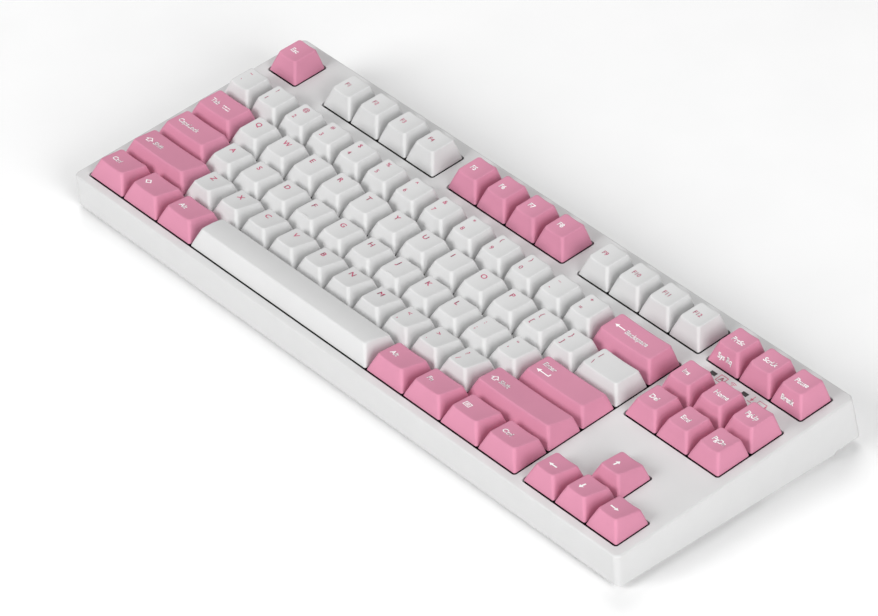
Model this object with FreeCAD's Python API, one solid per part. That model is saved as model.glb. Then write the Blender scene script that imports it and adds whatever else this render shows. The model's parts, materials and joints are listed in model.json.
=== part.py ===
"""Compact 87-key mechanical keyboard, one STEP file per named sub-part.

Units are millimetres.  Two frames are used:
  deck frame  x = 0 at the left edge of the key grid, y = 0 at its front edge and z = 0 on the top
              surface of the case.  Everything that belongs to the keys is drawn here.
  row frame   the frame of the finished part: +Z up, origin at the middle of the footprint, on the
              surface that the rubber pads rest on.  The deck is tilted in it by TYPING_ANGLE.
"""
import FreeCAD, Part
import math
import os

from FreeCAD import Placement, Rotation, Vector

# ---- driving dimensions -------------------------------------------------------------------------
PITCH = 19.05                    # one key unit
GRID_COLUMNS = 18.25             # key grid width in units, with the quarter-unit gap
GRID_ROWS = 6.5                  # key grid depth in units, with the half-unit gap
TYPING_ANGLE = 3.5               # degrees

SIDE_RIM = 5.67                  # case beyond the key grid: sides, front, and rear at deck level
FRONT_RIM = 4.7
REAR_RIM = 7.3
REAR_LEAN = 3.4                  # the rear face leans out by this much over REAR_LEAN_DROP
REAR_LEAN_DROP = 23.0
WALL = 2.5
DECK_THICKNESS = 2.5
EDGE_RADIUS = 1.0
CORNER_RADIUS = 3.0
OPENING_MARGIN = 0.35            # case openings beyond the key cells
OPENING_RADIUS = 1.4
OPENING_EDGE = 0.3

DECK_HEIGHT = 19.24              # deck origin above the resting surface
BELLY_LEVEL = 1.0                # undersides above the resting surface
FRONT_LEVEL = 2.5
REAR_LEVEL = 3.7
FLOOR_THICKNESS = 2.0

PLATE_TOP = -6.0                 # levels of the stack under the deck
PLATE_THICKNESS = 1.5
BOARD_TOP = PLATE_TOP - 5.0
BOARD_THICKNESS = 1.6
SWITCH_HOLE = 14.0
HOUSING_TOP = PLATE_TOP + 6.6
STEM_TOP = PLATE_TOP + 10.2
TRAVEL = 4.0
CONTACT_PINS = ((-3.81, 2.54), (2.54, 4.85))     # pins through the board, from the switch centre
CONTACT_LEAVES = (4.4, 4.85)     # y of each pin's leaf, behind the slider
CONTACT_PIN = (0.5, 0.9, 3.3)    # width, depth, reach below the board's top
CONTACT_WIDTH = 2.6
CONTACT_THICKNESS = 0.3
CONTACT_REST = 1.1               # foot of a contact above the board's top

RUN_GAP = 0.05                   # running clearance
LOOSE_GAP = 0.1                  # clearance of parts that are fixed beside each other

CROSS_REACH = 2.0                # cross on top of every slider: half length and bar thickness
CROSS_BARS = (1.1, 1.2)
STEM_SHOULDER = (7.0, 5.6)       # slider in the housing's window, and its wider skirt below
STEM_SKIRT = (8.6, 7.6)
STEM_SKIRT_LOW = PLATE_TOP + 1.1
SHOULDER_DEPTH = 1.5
SPRING_BORE = 2.3
SPRING_RADII = (2.1, 1.7)
SPRING_TOP = PLATE_TOP + 5.05

HOUSING_BODY = 13.9              # lower housing: body through the plate, flange on it, cavity
HOUSING_FLANGE = 15.6
FLANGE_HEIGHT = 1.0
HOUSING_FLOOR = BOARD_TOP + 1.0
HOUSING_CAVITY = 10.8
PEG_RADIUS = 1.9
SPRING_POST_RADIUS = 0.8
ROOF_BASE = 7.7                  # upper housing: half size at the flange and at its top, x and y
ROOF_TOP = (5.2, 4.9)
ROOF_ROOM_BASE = 6.7
ROOF_ROOM_TOP = (4.45, 4.0)
ROOF_WINDOW = (7.3, 5.9)
ROOF_WALL = 1.2

CAP_GAP = 0.95                   # between neighbouring caps
CAP_BASE = 0.3
CAP_WALL = 1.4
CAP_TOP_WALL = 2.0
CAP_SIDE_INSET = 3.15            # top edge inside the base edge
CAP_CEILING = 4.75               # lowest underside of a cap's top
CAP_ROOM_REACH = 6.0             # middle of the cap to the end of the room under its top
CAP_BOSS = 2.6
CAP_BOSS_LOW = HOUSING_TOP + 0.15
CAP_PROFILES = {                 # height at mid depth, tilt in degrees, front inset, back inset
    "R1": (9.2, 1.5, 4.0, 1.0),
    "R2": (7.5, 4.0, 4.0, 0.9),
    "R3": (6.8, 7.0, 4.0, 0.9),
    "R4": (7.3, 12.5, 4.0, 0.8),
}

# each row: front edge in units, cap profile, then (node, number of keys, width in units);
# a node of None is a gap
KEY_ROWS = (
    (5.5, "R1", (("escape_key", 1, 1), (None, 1, 1), ("outer_function_keys", 4, 1), (None, 1, 0.5),
                 ("inner_function_keys", 4, 1), (None, 1, 0.5), ("outer_function_keys", 4, 1),
                 (None, 1, 0.25), ("print_screen_key", 1, 1), ("scroll_lock_key", 1, 1),
                 ("pause_key", 1, 1))),
    (4.0, "R1", (("number_row_keys", 13, 1), ("backspace_key", 1, 2), (None, 1, 0.25),
                 ("insert_key", 1, 1), ("home_key", 1, 1), ("page_up_key", 1, 1))),
    (3.0, "R2", (("tab_key", 1, 1.5), ("q_row_keys", 12, 1), ("q_row_keys", 1, 1.5), (None, 1, 0.25),
                 ("delete_key", 1, 1), ("end_key", 1, 1), ("page_down_key", 1, 1))),
    (2.0, "R3", (("caps_lock_key", 1, 1.75), ("a_row_keys", 11, 1), ("enter_key", 1, 2.25))),
    (1.0, "R4", (("left_shift_key", 1, 2.25), ("z_row_keys", 10, 1), ("right_shift_key", 1, 2.75),
                 (None, 1, 1.25), ("up_arrow_key", 1, 1))),
    (0.0, "R4", (("left_ctrl_key", 1, 1.25), ("left_system_key", 1, 1.25), ("left_alt_key", 1, 1.25),
                 ("space_bar", 1, 6.25), ("right_alt_key", 1, 1.25), ("fn_key", 1, 1.25),
                 ("menu_key", 1, 1.25), ("right_ctrl_key", 1, 1.25), (None, 1, 0.25),
                 ("left_arrow_key", 1, 1), ("down_arrow_key", 1, 1), ("right_arrow_key", 1, 1))),
)

# openings of the case around the key groups: x0, y0, x1, y1 in units
CASE_OPENINGS = (
    (0, 0, 15, 5), (0, 5.5, 1, 6.5), (2, 5.5, 6, 6.5), (6.5, 5.5, 10.5, 6.5), (11, 5.5, 15, 6.5),
    (15.25, 5.5, 18.25, 6.5), (15.25, 3, 18.25, 5), (15.25, 0, 18.25, 1),
)
UP_ARROW_OPENING = (16.25, 0, 17.25, 2)

STABILIZED = {"backspace_key": 11.94, "enter_key": 11.94, "left_shift_key": 11.94,
              "right_shift_key": 11.94, "space_bar": 50.0}     # half distance of the stabilizers
STABILIZER_SIDES = (-3.6, 4.2)   # housing, towards the switch and outwards
STABILIZER_HALF_DEPTH = 6.4
STABILIZER_MID = PLATE_TOP + 3.2
TOWER_SIDES = (-3.6, 1.6)
TOWER_HALF_DEPTH = 3.8
SLIDER_SIDES = (-2.0, 1.6)       # stabilizer slider
SLIDER_HALF_DEPTH = 2.6
SLIDER_LOW = -4.6
SLIDER_GAP = 0.2
WIRE_RADIUS = 0.8
WIRE_ARM = 9.6                   # pivot to hook
WIRE_PIVOT = (9.1, -4.8)         # behind the key centre, and level
WIRE_PLANE = 2.6                 # arms outside the stabilizer centres
WIRE_BEND = 1.3
WIRE_HOOK_END = 1.2              # hooks end this far inside the stabilizer centres

PLATE_SIZE = (GRID_COLUMNS * PITCH + 5.0, 128.0)     # width and depth of the stacked sheets
PAD_SIZE = (GRID_COLUMNS * PITCH - 2.0, 123.0)
BOARD_SIZE = (GRID_COLUMNS * PITCH - 2.0, 124.0)
PLATE_MIDDLE = 62.4
BOARD_MIDDLE = 63.0
CHIP_AT = (15.9 * PITCH, 2.5 * PITCH)
CHIP_SIZE = (7.0, 7.0, 0.9)
CRYSTAL_OFFSET = (9.0, -5.0)
CRYSTAL_SIZE = (3.2, 2.5, 0.8)
RADIO_OFFSET = (-2.0, -28.0)
RADIO_SIZE = (13.0, 8.0, 1.1)
DIODE_OFFSET = -7.6
DIODE_SIZE = (2.7, 1.6, 1.1)
LAMP_SIZE = (3.0, 1.4, 1.2)

CASE_SCREWS = ((1.5, 5.3), (6.25, 5.3), (10.75, 5.3), (17.6, 5.3), (17.75, 1.5), (15.65, 1.5))
PLATE_SCREWS = ((1.25, 0.5), (3.76, 0.5), (11.25, 0.5), (15.125, 0.5), (16.75, 2.5),
                (4.0, 5.3), (8.5, 5.3), (13.0, 5.3))
BOSS_RADIUS = 2.6
BOSS_CLEARANCE = 0.5
SCREW_RADIUS = 1.0
SCREW_HEAD_RADIUS = 2.2
SCREW_HEAD = 1.5

LENS_SIZE = (3.4, 2.2)
LENSES = ((299.4, 100.7), (318.45, 100.7))
LENS_COLLAR = (0.8, 1.0)         # shoulder under the deck: width and height

PORT_X = 66.7                    # USB receptacle
PORT_SIZE = (8.94, 8.2, 3.2)
PORT_OPENING = (13.0, 7.4)
PORT_FACE = GRID_ROWS * PITCH + 5.6
PORT_WALL = 0.3
PORT_TONGUE = (6.7, 0.7)

CELL_SIZE = (33.0, 34.0, 5.0)    # battery cells on the belly's floor, row frame
CELL_CENTRES = ((8.9, 31.2), (52.9, 31.2))
CELL_SEAL = 2.6                  # folded seam with the cell's circuit, at its front

FOOT_WIDTH = 34.0
FOOT_EDGE = 1.6                  # foot's outer end inside the case's side
FOOT_AXIS = (60.0, 2.75)         # row frame y, z of the hinge
FOOT_BARREL = 2.2
FOOT_REACH = 11.0                # hinge axis to the end of the rubber tip
FOOT_THICKNESS = 2.6
FOOT_PIN = (1.1, 1.8)            # radius, length
TIP_LENGTH = 2.4
POCKET_CEILING = 5.4
GRIP_INSET = 11.0                # finger recess in the leaf, from its ends

BELLY_START = 10.0               # row frame y of the step down to the belly and of its end
BELLY_END = FOOT_AXIS[0] - 6.5
BELLY_STEP = 2.4
TRAY_GAP = 0.15
TRAY_LIP = (1.6, 4.0)            # upstand inside the walls: thickness, height above the floor
PILOT_DEPTH = 6.5
WELL_DEPTH = 2.4                 # screw head's seat above the underside
WELL_WALL = 1.2
WELL_TOP = 4.5
LABEL_RECESS = (-45.0, 45.0, 22.0, 48.0, 0.3)
FRONT_PADS = (146.0, -60.5, -50.5)                   # x of the middle, y from and to
REAR_PADS = (118.0, 37.0, 46.0)
PAD_HALF_LENGTH = 12.0

# ---- derived frames -----------------------------------------------------------------------------
COS = math.cos(math.radians(TYPING_ANGLE))
SIN = math.sin(math.radians(TYPING_ANGLE))
GRID_WIDTH = GRID_COLUMNS * PITCH
GRID_DEPTH = GRID_ROWS * PITCH
CASE_REAR = GRID_DEPTH + REAR_RIM
FRONT_REACH = (-FRONT_RIM + EDGE_RADIUS) * COS + EDGE_RADIUS * SIN - EDGE_RADIUS
REAR_REACH = (CASE_REAR + REAR_LEAN) * COS + REAR_LEAN_DROP * SIN
DECK_ORIGIN = Vector(-GRID_WIDTH / 2, -(FRONT_REACH + REAR_REACH) / 2, DECK_HEIGHT)
DECK_PLACEMENT = Placement(DECK_ORIGIN, Rotation(Vector(1, 0, 0), TYPING_ANGLE))
CASE_HALF = GRID_WIDTH / 2 + SIDE_RIM


def row_point(y, z):
    """Deck frame (y, z) in the row frame."""
    return (DECK_ORIGIN.y + y * COS - z * SIN, DECK_ORIGIN.z + y * SIN + z * COS)


def level_in_deck(y, level):
    """Deck z, at deck y, of the height `level` above the resting surface."""
    return (level - DECK_HEIGHT - y * SIN) / COS


# ---- small helpers ------------------------------------------------------------------------------
def box(x0, x1, y0, y1, z0, z1):
    return Part.makeBox(x1 - x0, y1 - y0, z1 - z0, Vector(x0, y0, z0))


def centred_box(x, y, width, depth, z0, z1):
    return box(x - width / 2, x + width / 2, y - depth / 2, y + depth / 2, z0, z1)


def polygon(points):
    """Closed wire through the points."""
    return Part.makePolygon([Vector(*p) for p in points] + [Vector(*points[0])])


def octagon(x, y, inner_radius, z):
    """Octagonal wire whose flats are inner_radius from the centre."""
    corner = inner_radius / math.cos(math.pi / 8)
    turns = [math.pi / 8 + k * math.pi / 4 for k in range(8)]
    return polygon([(x + corner * math.cos(t), y + corner * math.sin(t), z) for t in turns])


def rectangle(x, y, width, depth, z):
    w, d = width / 2, depth / 2
    return polygon([(x - w, y - d, z), (x + w, y - d, z), (x + w, y + d, z), (x - w, y + d, z)])


def prism(outline, height, holes=()):
    """Solid that rises from a wire, with wires for its holes."""
    face = Part.makeFace([outline] + list(holes), "Part::FaceMakerBullseye")
    return face.extrude(Vector(0, 0, height)).Solids[0]


def profile_prism(yz_points, x0, x1):
    """Prism along X from a side outline of (y, z) points."""
    return Part.Face(polygon([(x0, y, z) for y, z in yz_points])).extrude(Vector(x1 - x0, 0, 0))


def rod(x, y, z0, z1, radius):
    """Upright cylinder between two levels."""
    return Part.makeCylinder(radius, z1 - z0, Vector(x, y, z0))


def rounded_slab(x0, x1, y0, y1, z0, z1, radius):
    """Box with rounded upright edges."""
    slab = box(x0, x1, y0, y1, z0, z1)
    upright = [e for e in slab.Edges if abs(e.tangentAt(e.FirstParameter).z) > 0.99]
    return slab.makeFillet(radius, upright)


def polyhedron(points, faces):
    """Solid from numbered points and the faces between them."""
    wires = [polygon([points[i] for i in face]) for face in faces]
    solid = Part.Solid(Part.Shell([Part.Face(w) for w in wires]))
    if solid.Volume < 0:
        solid.reverse()
    return solid


def frustum(bottom, top):
    """Solid between two four-cornered outlines whose corners correspond."""
    sides = [(i, (i + 1) % 4, 4 + (i + 1) % 4, 4 + i) for i in range(4)]
    return polyhedron(bottom + top, [(3, 2, 1, 0), (4, 5, 6, 7)] + sides)


def corners(x0, x1, y0, y1, z):
    return [(x0, y0, z), (x1, y0, z), (x1, y1, z), (x0, y1, z)]


def moved(shape, x=0.0, y=0.0, z=0.0):
    return shape.translated(Vector(x, y, z))


def export(node, solids, on_deck=True):
    """Write one node; deck-frame solids are first placed in the row frame."""
    shape = solids[0] if len(solids) == 1 else Part.makeCompound(solids)
    if on_deck:
        shape = shape.copy()
        shape.Placement = DECK_PLACEMENT.multiply(shape.Placement)
    bad = [s for s in shape.Solids if not s.isValid() or s.Volume <= 0]
    print(f"{node:26s} solids {len(shape.Solids):4d}  faces {len(shape.Faces):6d}  bad {len(bad)}")
    shape.exportStep(f"parts/{node}.step")


# ---- key layout ---------------------------------------------------------------------------------
def read_layout():
    """List every key as a dict with its node, centre, width in units and cap profile."""
    keys = []
    for front, profile, entries in KEY_ROWS:
        x = 0.0
        for node, count, width in entries:
            for _ in range(count):
                if node:
                    centre = ((x + width / 2) * PITCH, (front + 0.5) * PITCH)
                    keys.append({"node": node, "at": centre, "width": width, "profile": profile})
                x += width
    return keys


KEYS = read_layout()


def stabilizer_sites():
    """(key centre x, y, stabilizer centre x, outward direction) of every stabilizer."""
    sites = []
    for key in KEYS:
        reach = STABILIZED.get(key["node"])
        if reach:
            x, y = key["at"]
            sites += [(x, y, x - reach, -1), (x, y, x + reach, 1)]
    return sites


# ---- keycaps and stems --------------------------------------------------------------------------
def cap_block(width, profile, wall, ceiling=None):
    """Outer body of a cap, or with a ceiling its hollow, as a tapered block about the origin."""
    height, tilt, front_inset, back_inset = CAP_PROFILES[profile]
    half_w = (width * PITCH - CAP_GAP) / 2
    half_d = (PITCH - CAP_GAP) / 2
    slope = CAP_SIDE_INSET / height
    rise = math.tan(math.radians(tilt))
    front_y, back_y = -half_d + front_inset, half_d - back_inset
    middle = (front_y + back_y) / 2

    def side(z):
        return half_w - wall - slope * (z - CAP_BASE)

    if ceiling is None:
        front_z = CAP_BASE + height + rise * (middle - front_y)
        back_z = CAP_BASE + height - rise * (back_y - middle)
        upper = [(-side(front_z), front_y, front_z), (side(front_z), front_y, front_z),
                 (side(back_z), back_y, back_z), (-side(back_z), back_y, back_z)]
    else:
        share = (ceiling - CAP_BASE) / height
        y0 = -half_d + wall + front_inset * share
        y1 = half_d - wall - back_inset * share
        upper = corners(-side(ceiling), side(ceiling), y0, y1, ceiling)
    lower = corners(-half_w + wall, half_w - wall, -half_d + wall, half_d - wall, CAP_BASE)
    return frustum(lower, upper)


def cross(gap, z0, z1):
    """Upright cross of every slider, or with a gap the socket around it."""
    length = 2 * (CROSS_REACH + gap)
    bar_x = centred_box(0, 0, length, CROSS_BARS[0] + gap, z0, z1)
    bar_y = centred_box(0, 0, CROSS_BARS[1] + gap, length, z0, z1)
    return bar_x.fuse(bar_y).removeSplitter()


def cap_ceiling(profile):
    """Underside of a cap's top, low enough to leave its wall where the top slopes down."""
    height, tilt = CAP_PROFILES[profile][:2]
    drop = CAP_ROOM_REACH * math.tan(math.radians(tilt))
    return max(CAP_CEILING, CAP_BASE + height - drop - CAP_TOP_WALL)


def keycap(width, profile, boss_offsets):
    """Hollow cap with a cross socket at every boss offset along X."""
    ceiling = cap_ceiling(profile)
    body = cap_block(width, profile, 0.0)
    body = body.cut(cap_block(width, profile, CAP_WALL, ceiling))
    boss = prism(octagon(0, 0, CAP_BOSS, CAP_BOSS_LOW), ceiling - CAP_BOSS_LOW + 0.3)
    socket = cross(2 * RUN_GAP, CAP_BOSS_LOW - 0.5, STEM_TOP + LOOSE_GAP)
    for offset in boss_offsets:
        body = body.fuse(moved(boss, x=offset)).cut(moved(socket, x=offset))
    return body.removeSplitter()


def switch_stem():
    """Slider of a switch: cross, body inside the housing, and a bore for the spring."""
    post = cross(0.0, HOUSING_TOP - 0.3, STEM_TOP)
    shoulder = centred_box(0, 0, *STEM_SHOULDER, HOUSING_TOP - SHOULDER_DEPTH, HOUSING_TOP)
    skirt = centred_box(0, 0, *STEM_SKIRT, STEM_SKIRT_LOW, HOUSING_TOP - SHOULDER_DEPTH + 0.15)
    bore = prism(octagon(0, 0, SPRING_BORE, PLATE_TOP), SPRING_TOP + RUN_GAP - PLATE_TOP)
    return post.fuse([shoulder, skirt]).cut(bore).removeSplitter()


def stabilizer_stem(outward):
    """Slider of a stabilizer with its cross and the side hole for the wire's hook."""
    post = cross(0.0, HOUSING_TOP - 0.3, STEM_TOP)
    x0, x1 = sorted(outward * side for side in SLIDER_SIDES)
    block = box(x0, x1, -SLIDER_HALF_DEPTH, SLIDER_HALF_DEPTH, SLIDER_LOW, HOUSING_TOP)
    hook_y, hook_z = hook_rest()
    tall = WIRE_RADIUS + 0.15
    slot = box(-5, 5, hook_y - WIRE_RADIUS - 0.4, hook_y + WIRE_RADIUS + 0.2, hook_z - tall, hook_z + tall)
    return post.fuse(block).cut(slot).removeSplitter()


def hook_rest():
    """Hook centre at rest, from the key centre: half the travel above the pivot."""
    rise = TRAVEL / 2
    return (WIRE_PIVOT[0] - math.sqrt(WIRE_ARM ** 2 - rise ** 2), WIRE_PIVOT[1] + rise)


def key_nodes():
    """Cap and stem solids of every key, grouped by node."""
    caps = {}
    stem = switch_stem()
    nodes = {}
    for key in KEYS:
        reach = STABILIZED.get(key["node"])
        kind = (key["width"], key["profile"], reach)
        if kind not in caps:
            offsets = (0.0, -reach, reach) if reach else (0.0,)
            caps[kind] = keycap(key["width"], key["profile"], offsets)
        x, y = key["at"]
        solids = nodes.setdefault(key["node"], [])
        solids += [moved(caps[kind], x, y), moved(stem, x, y)]
        if reach:
            solids += [moved(stabilizer_stem(side), x + side * reach, y) for side in (-1, 1)]
    return nodes


# ---- switches -----------------------------------------------------------------------------------
def lower_housing():
    """Box through the plate with its flange, peg, spring post and two slots for the contacts."""
    body = centred_box(0, 0, HOUSING_BODY, HOUSING_BODY, BOARD_TOP, PLATE_TOP)
    flange = centred_box(0, 0, HOUSING_FLANGE, HOUSING_FLANGE, PLATE_TOP, PLATE_TOP + FLANGE_HEIGHT)
    cavity = centred_box(0, 0, HOUSING_CAVITY, HOUSING_CAVITY, HOUSING_FLOOR, PLATE_TOP + 2.0)
    peg = prism(octagon(0, 0, PEG_RADIUS, BOARD_TOP - BOARD_THICKNESS), BOARD_THICKNESS + 0.2)
    spring_post = prism(octagon(0, 0, SPRING_POST_RADIUS, HOUSING_FLOOR - 0.2), 2.6)
    slots = [centred_box(x, y, 1.1, 1.5, BOARD_TOP - 1, BOARD_TOP + 2) for x, y in CONTACT_PINS]
    return body.fuse(flange).cut(cavity).fuse([peg, spring_post]).cut(slots).removeSplitter()


def half_corners(half, z):
    """Corners of a rectangle about the origin, from its half width and depth."""
    return corners(-half[0], half[0], -half[1], half[1], z)


def upper_housing():
    """Tapered roof over the flange with a window for the slider."""
    z0, z1 = PLATE_TOP + FLANGE_HEIGHT + 0.03, HOUSING_TOP
    outer = frustum(half_corners((ROOF_BASE, ROOF_BASE), z0), half_corners(ROOF_TOP, z1))
    room_base = half_corners((ROOF_ROOM_BASE, ROOF_ROOM_BASE), z0 - 0.1)
    room = frustum(room_base, half_corners(ROOF_ROOM_TOP, z1 - ROOF_WALL))
    return outer.cut([room, centred_box(0, 0, *ROOF_WINDOW, z0, z1 + 1)]).removeSplitter()


def switch_spring():
    """Return spring in its installed length, drawn as a thin sleeve of the coil's size."""
    z0 = HOUSING_FLOOR + 0.02
    outline, hole = (octagon(0, 0, radius, z0) for radius in SPRING_RADII)
    return prism(outline, SPRING_TOP - z0, [hole])


def switch_contacts():
    """Fixed and moving contact, each a leaf behind the slider with a foot and a pin through the board."""
    contacts = []
    low = BOARD_TOP + CONTACT_REST
    high = low + CONTACT_THICKNESS
    width, depth, reach = CONTACT_PIN
    half = CONTACT_WIDTH / 2
    for (x, y), leaf_y in zip(CONTACT_PINS, CONTACT_LEAVES):
        pin = centred_box(x, y, width, depth, BOARD_TOP - reach, high)
        foot_plate = box(x - half, x + half, y - depth / 2, leaf_y + CONTACT_THICKNESS / 2, low, high)
        leaf = centred_box(x, leaf_y, CONTACT_WIDTH, CONTACT_THICKNESS, low, PLATE_TOP + 0.8)
        contacts.append(pin.fuse([foot_plate, leaf]).removeSplitter())
    return contacts


def every_switch(solids):
    """Copies of the solids at every key."""
    return [moved(s, *key["at"]) for key in KEYS for s in solids]


# ---- stabilizers --------------------------------------------------------------------------------
def stabilizer_housing(outward):
    """Plate-mounted housing, open towards its wire, with a cradle for the wire at the back."""
    low, mid, top = BOARD_TOP + 0.2, STABILIZER_MID, HOUSING_TOP - 1.0
    depth = STABILIZER_HALF_DEPTH
    inward, outer = STABILIZER_SIDES
    block = box(inward, outer, -depth, depth, low, mid)
    tower = box(*TOWER_SIDES, -TOWER_HALF_DEPTH, TOWER_HALF_DEPTH, mid - 0.1, top)
    lug = box(inward, -0.4, depth - 0.1, depth + 3.9, PLATE_TOP + RUN_GAP, PLATE_TOP + 1.7)

    way = SLIDER_HALF_DEPTH + SLIDER_GAP
    slider_way = box(SLIDER_SIDES[0] - SLIDER_GAP, SLIDER_SIDES[1] + SLIDER_GAP, -way, way, low - 1, top + 1)
    boss_way = box(-CAP_BOSS - 0.3, SLIDER_SIDES[1] + SLIDER_GAP, -CAP_BOSS - 0.4, CAP_BOSS + 0.4,
                   CAP_BOSS_LOW - TRAVEL - 0.15, top + 1)
    wire_way = box(WIRE_PLANE - 0.9, WIRE_PLANE + 1.0, -way, 20, low - 1, mid + 1)
    side_window = box(outer - 0.7, outer + 1, -way, 20, PLATE_TOP + 1.6, mid + 1)
    pivot_y, pivot_z = WIRE_PIVOT
    grip = WIRE_RADIUS + LOOSE_GAP
    notch = box(inward - 1, 1, pivot_y - grip, pivot_y + grip, pivot_z - grip, pivot_z + 3)
    shape = block.fuse([tower, lug]).cut([slider_way, boss_way, wire_way, side_window, notch])
    shape = shape.removeSplitter()
    return shape if outward > 0 else shape.mirror(Vector(), Vector(1, 0, 0))


def stabilizer_housings():
    """Both housings of every stabilized key."""
    return [moved(stabilizer_housing(side), x, y) for _, y, x, side in stabilizer_sites()]


def bent_wire(points, bend, radius):
    """Round wire along straight runs joined by tangent arcs."""
    points = [Vector(*p) for p in points]
    edges, start = [], points[0]
    for before, corner, after in zip(points, points[1:], points[2:]):
        back = (before - corner).normalize()
        onward = (after - corner).normalize()
        half_turn = (math.pi - back.getAngle(onward)) / 2
        reach = bend * math.tan(half_turn)
        a, b = corner + back * reach, corner + onward * reach
        middle = (back + onward).normalize()
        peak = corner + middle * (bend / math.cos(half_turn) - bend)
        edges += [Part.LineSegment(start, a).toShape(), Part.Arc(a, peak, b).toShape()]
        start = b
    edges.append(Part.LineSegment(start, points[-1]).toShape())
    path = Part.Wire(edges)
    section = Part.Wire([Part.makeCircle(radius, points[0], points[1] - points[0])])
    return path.makePipeShell([section], True, False)


def stabilizer_wire(reach):
    """Wire at rest about its key centre: two hooks, two arms, one long pivot bar."""
    outer = reach + WIRE_PLANE
    hook_y, hook_z = hook_rest()
    pivot_y, pivot_z = WIRE_PIVOT
    hook_end = reach - WIRE_HOOK_END
    half = [(hook_end, hook_y, hook_z), (outer, hook_y, hook_z), (outer, pivot_y, pivot_z)]
    mirrored = [(-x, y, z) for x, y, z in reversed(half)]
    return bent_wire(half + mirrored, WIRE_BEND, WIRE_RADIUS)


# ---- plate, sound pad and board -----------------------------------------------------------------
def screw_holes(sites, radius, z):
    """Octagonal holes at screw sites given in key units."""
    return [octagon(x * PITCH, y * PITCH, radius, z) for x, y in sites]


def stabilizer_holes(z, margin):
    """Holes around the stabilizer housings."""
    holes = []
    inward, outward = STABILIZER_SIDES
    y0, y1 = -STABILIZER_HALF_DEPTH - margin, STABILIZER_HALF_DEPTH + 1.1
    for _, y, x, side in stabilizer_sites():
        x0, x1 = sorted((x + side * (inward - margin), x + side * (outward + margin)))
        holes.append(polygon(corners(x0, x1, y + y0, y + y1, z)))
    return holes


def switch_holes(size, z):
    return [rectangle(*key["at"], size, size, z) for key in KEYS]


def lens_holes(z, margin):
    return [rectangle(x, y, LENS_SIZE[0] + margin, LENS_SIZE[1] + margin, z) for x, y in LENSES]


def switch_plate():
    """Steel plate that carries the switches and stabilizers."""
    z = PLATE_TOP - PLATE_THICKNESS
    outline = rectangle(GRID_WIDTH / 2, PLATE_MIDDLE, *PLATE_SIZE, z)
    holes = switch_holes(SWITCH_HOLE, z) + stabilizer_holes(z, 0.15) + lens_holes(z, 0.6)
    holes += screw_holes(CASE_SCREWS, BOSS_RADIUS + BOSS_CLEARANCE, z)
    holes += screw_holes(PLATE_SCREWS, SCREW_RADIUS + 0.15, z)
    return prism(outline, PLATE_THICKNESS, holes)


def sound_pad():
    """Foam between the plate and the board."""
    z = BOARD_TOP + LOOSE_GAP
    outline = rectangle(GRID_WIDTH / 2, PLATE_MIDDLE, *PAD_SIZE, z)
    holes = switch_holes(SWITCH_HOLE + 0.6, z) + stabilizer_holes(z, 0.5) + lens_holes(z, 1.4)
    holes += screw_holes(CASE_SCREWS + PLATE_SCREWS, BOSS_RADIUS + BOSS_CLEARANCE, z)
    return prism(outline, PLATE_TOP - PLATE_THICKNESS - LOOSE_GAP - z, holes)


def circuit_board():
    """Board with a hole for every switch peg, contact pin and screw boss."""
    z = BOARD_TOP - BOARD_THICKNESS
    outline = rectangle(GRID_WIDTH / 2, BOARD_MIDDLE, *BOARD_SIZE, z)
    holes = [octagon(*key["at"], PEG_RADIUS + LOOSE_GAP, z) for key in KEYS]
    for key in KEYS:
        x, y = key["at"]
        holes += [rectangle(x + dx, y + dy, 1.0, 1.4, z) for dx, dy in CONTACT_PINS]
    holes += screw_holes(CASE_SCREWS + PLATE_SCREWS, BOSS_RADIUS + BOSS_CLEARANCE, z)
    return prism(outline, BOARD_THICKNESS - 0.02, holes)


def under_board(x, y, size):
    """Component soldered under the board."""
    top = BOARD_TOP - BOARD_THICKNESS - 0.03
    return centred_box(x, y, size[0], size[1], top - size[2], top)


def board_components():
    """Controller, crystal, radio module, one diode per switch and two indicator lamps."""
    x, y = CHIP_AT
    parts = [under_board(x, y, CHIP_SIZE)]
    parts.append(under_board(x + CRYSTAL_OFFSET[0], y + CRYSTAL_OFFSET[1], CRYSTAL_SIZE))
    parts.append(under_board(x + RADIO_OFFSET[0], y + RADIO_OFFSET[1], RADIO_SIZE))
    parts += [under_board(key["at"][0], key["at"][1] + DIODE_OFFSET, DIODE_SIZE) for key in KEYS]
    low = BOARD_TOP + 0.02
    parts += [centred_box(*at, LAMP_SIZE[0], LAMP_SIZE[1], low, BOARD_TOP + LAMP_SIZE[2]) for at in LENSES]
    return parts


def along_deck(edge):
    """Edges that run from the front of the deck to its rear."""
    return abs(edge.tangentAt(edge.FirstParameter).y) > 0.99


def usb_socket():
    """Receptacle shell with a closed back and the tongue inside."""
    width, depth, height = PORT_SIZE
    top = BOARD_TOP - BOARD_THICKNESS - RUN_GAP
    z = top - height / 2
    shell = box(PORT_X - width / 2, PORT_X + width / 2, PORT_FACE - depth, PORT_FACE, top - height, top)
    shell = shell.makeFillet(1.3, [e for e in shell.Edges if along_deck(e)])
    half, tall = width / 2 - PORT_WALL, height / 2 - PORT_WALL
    mouth = box(PORT_X - half, PORT_X + half, PORT_FACE - depth + 1.0, PORT_FACE + 1, z - tall, z + tall)
    mouth = mouth.makeFillet(1.0, [e for e in mouth.Edges if along_deck(e)])
    tongue_width, tongue_height = PORT_TONGUE
    tongue = centred_box(PORT_X, PORT_FACE - depth / 2 - 0.5, tongue_width, depth - 1.0,
                         z - tongue_height / 2, z + tongue_height / 2)
    return shell.cut(mouth).fuse(tongue).removeSplitter()


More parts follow.
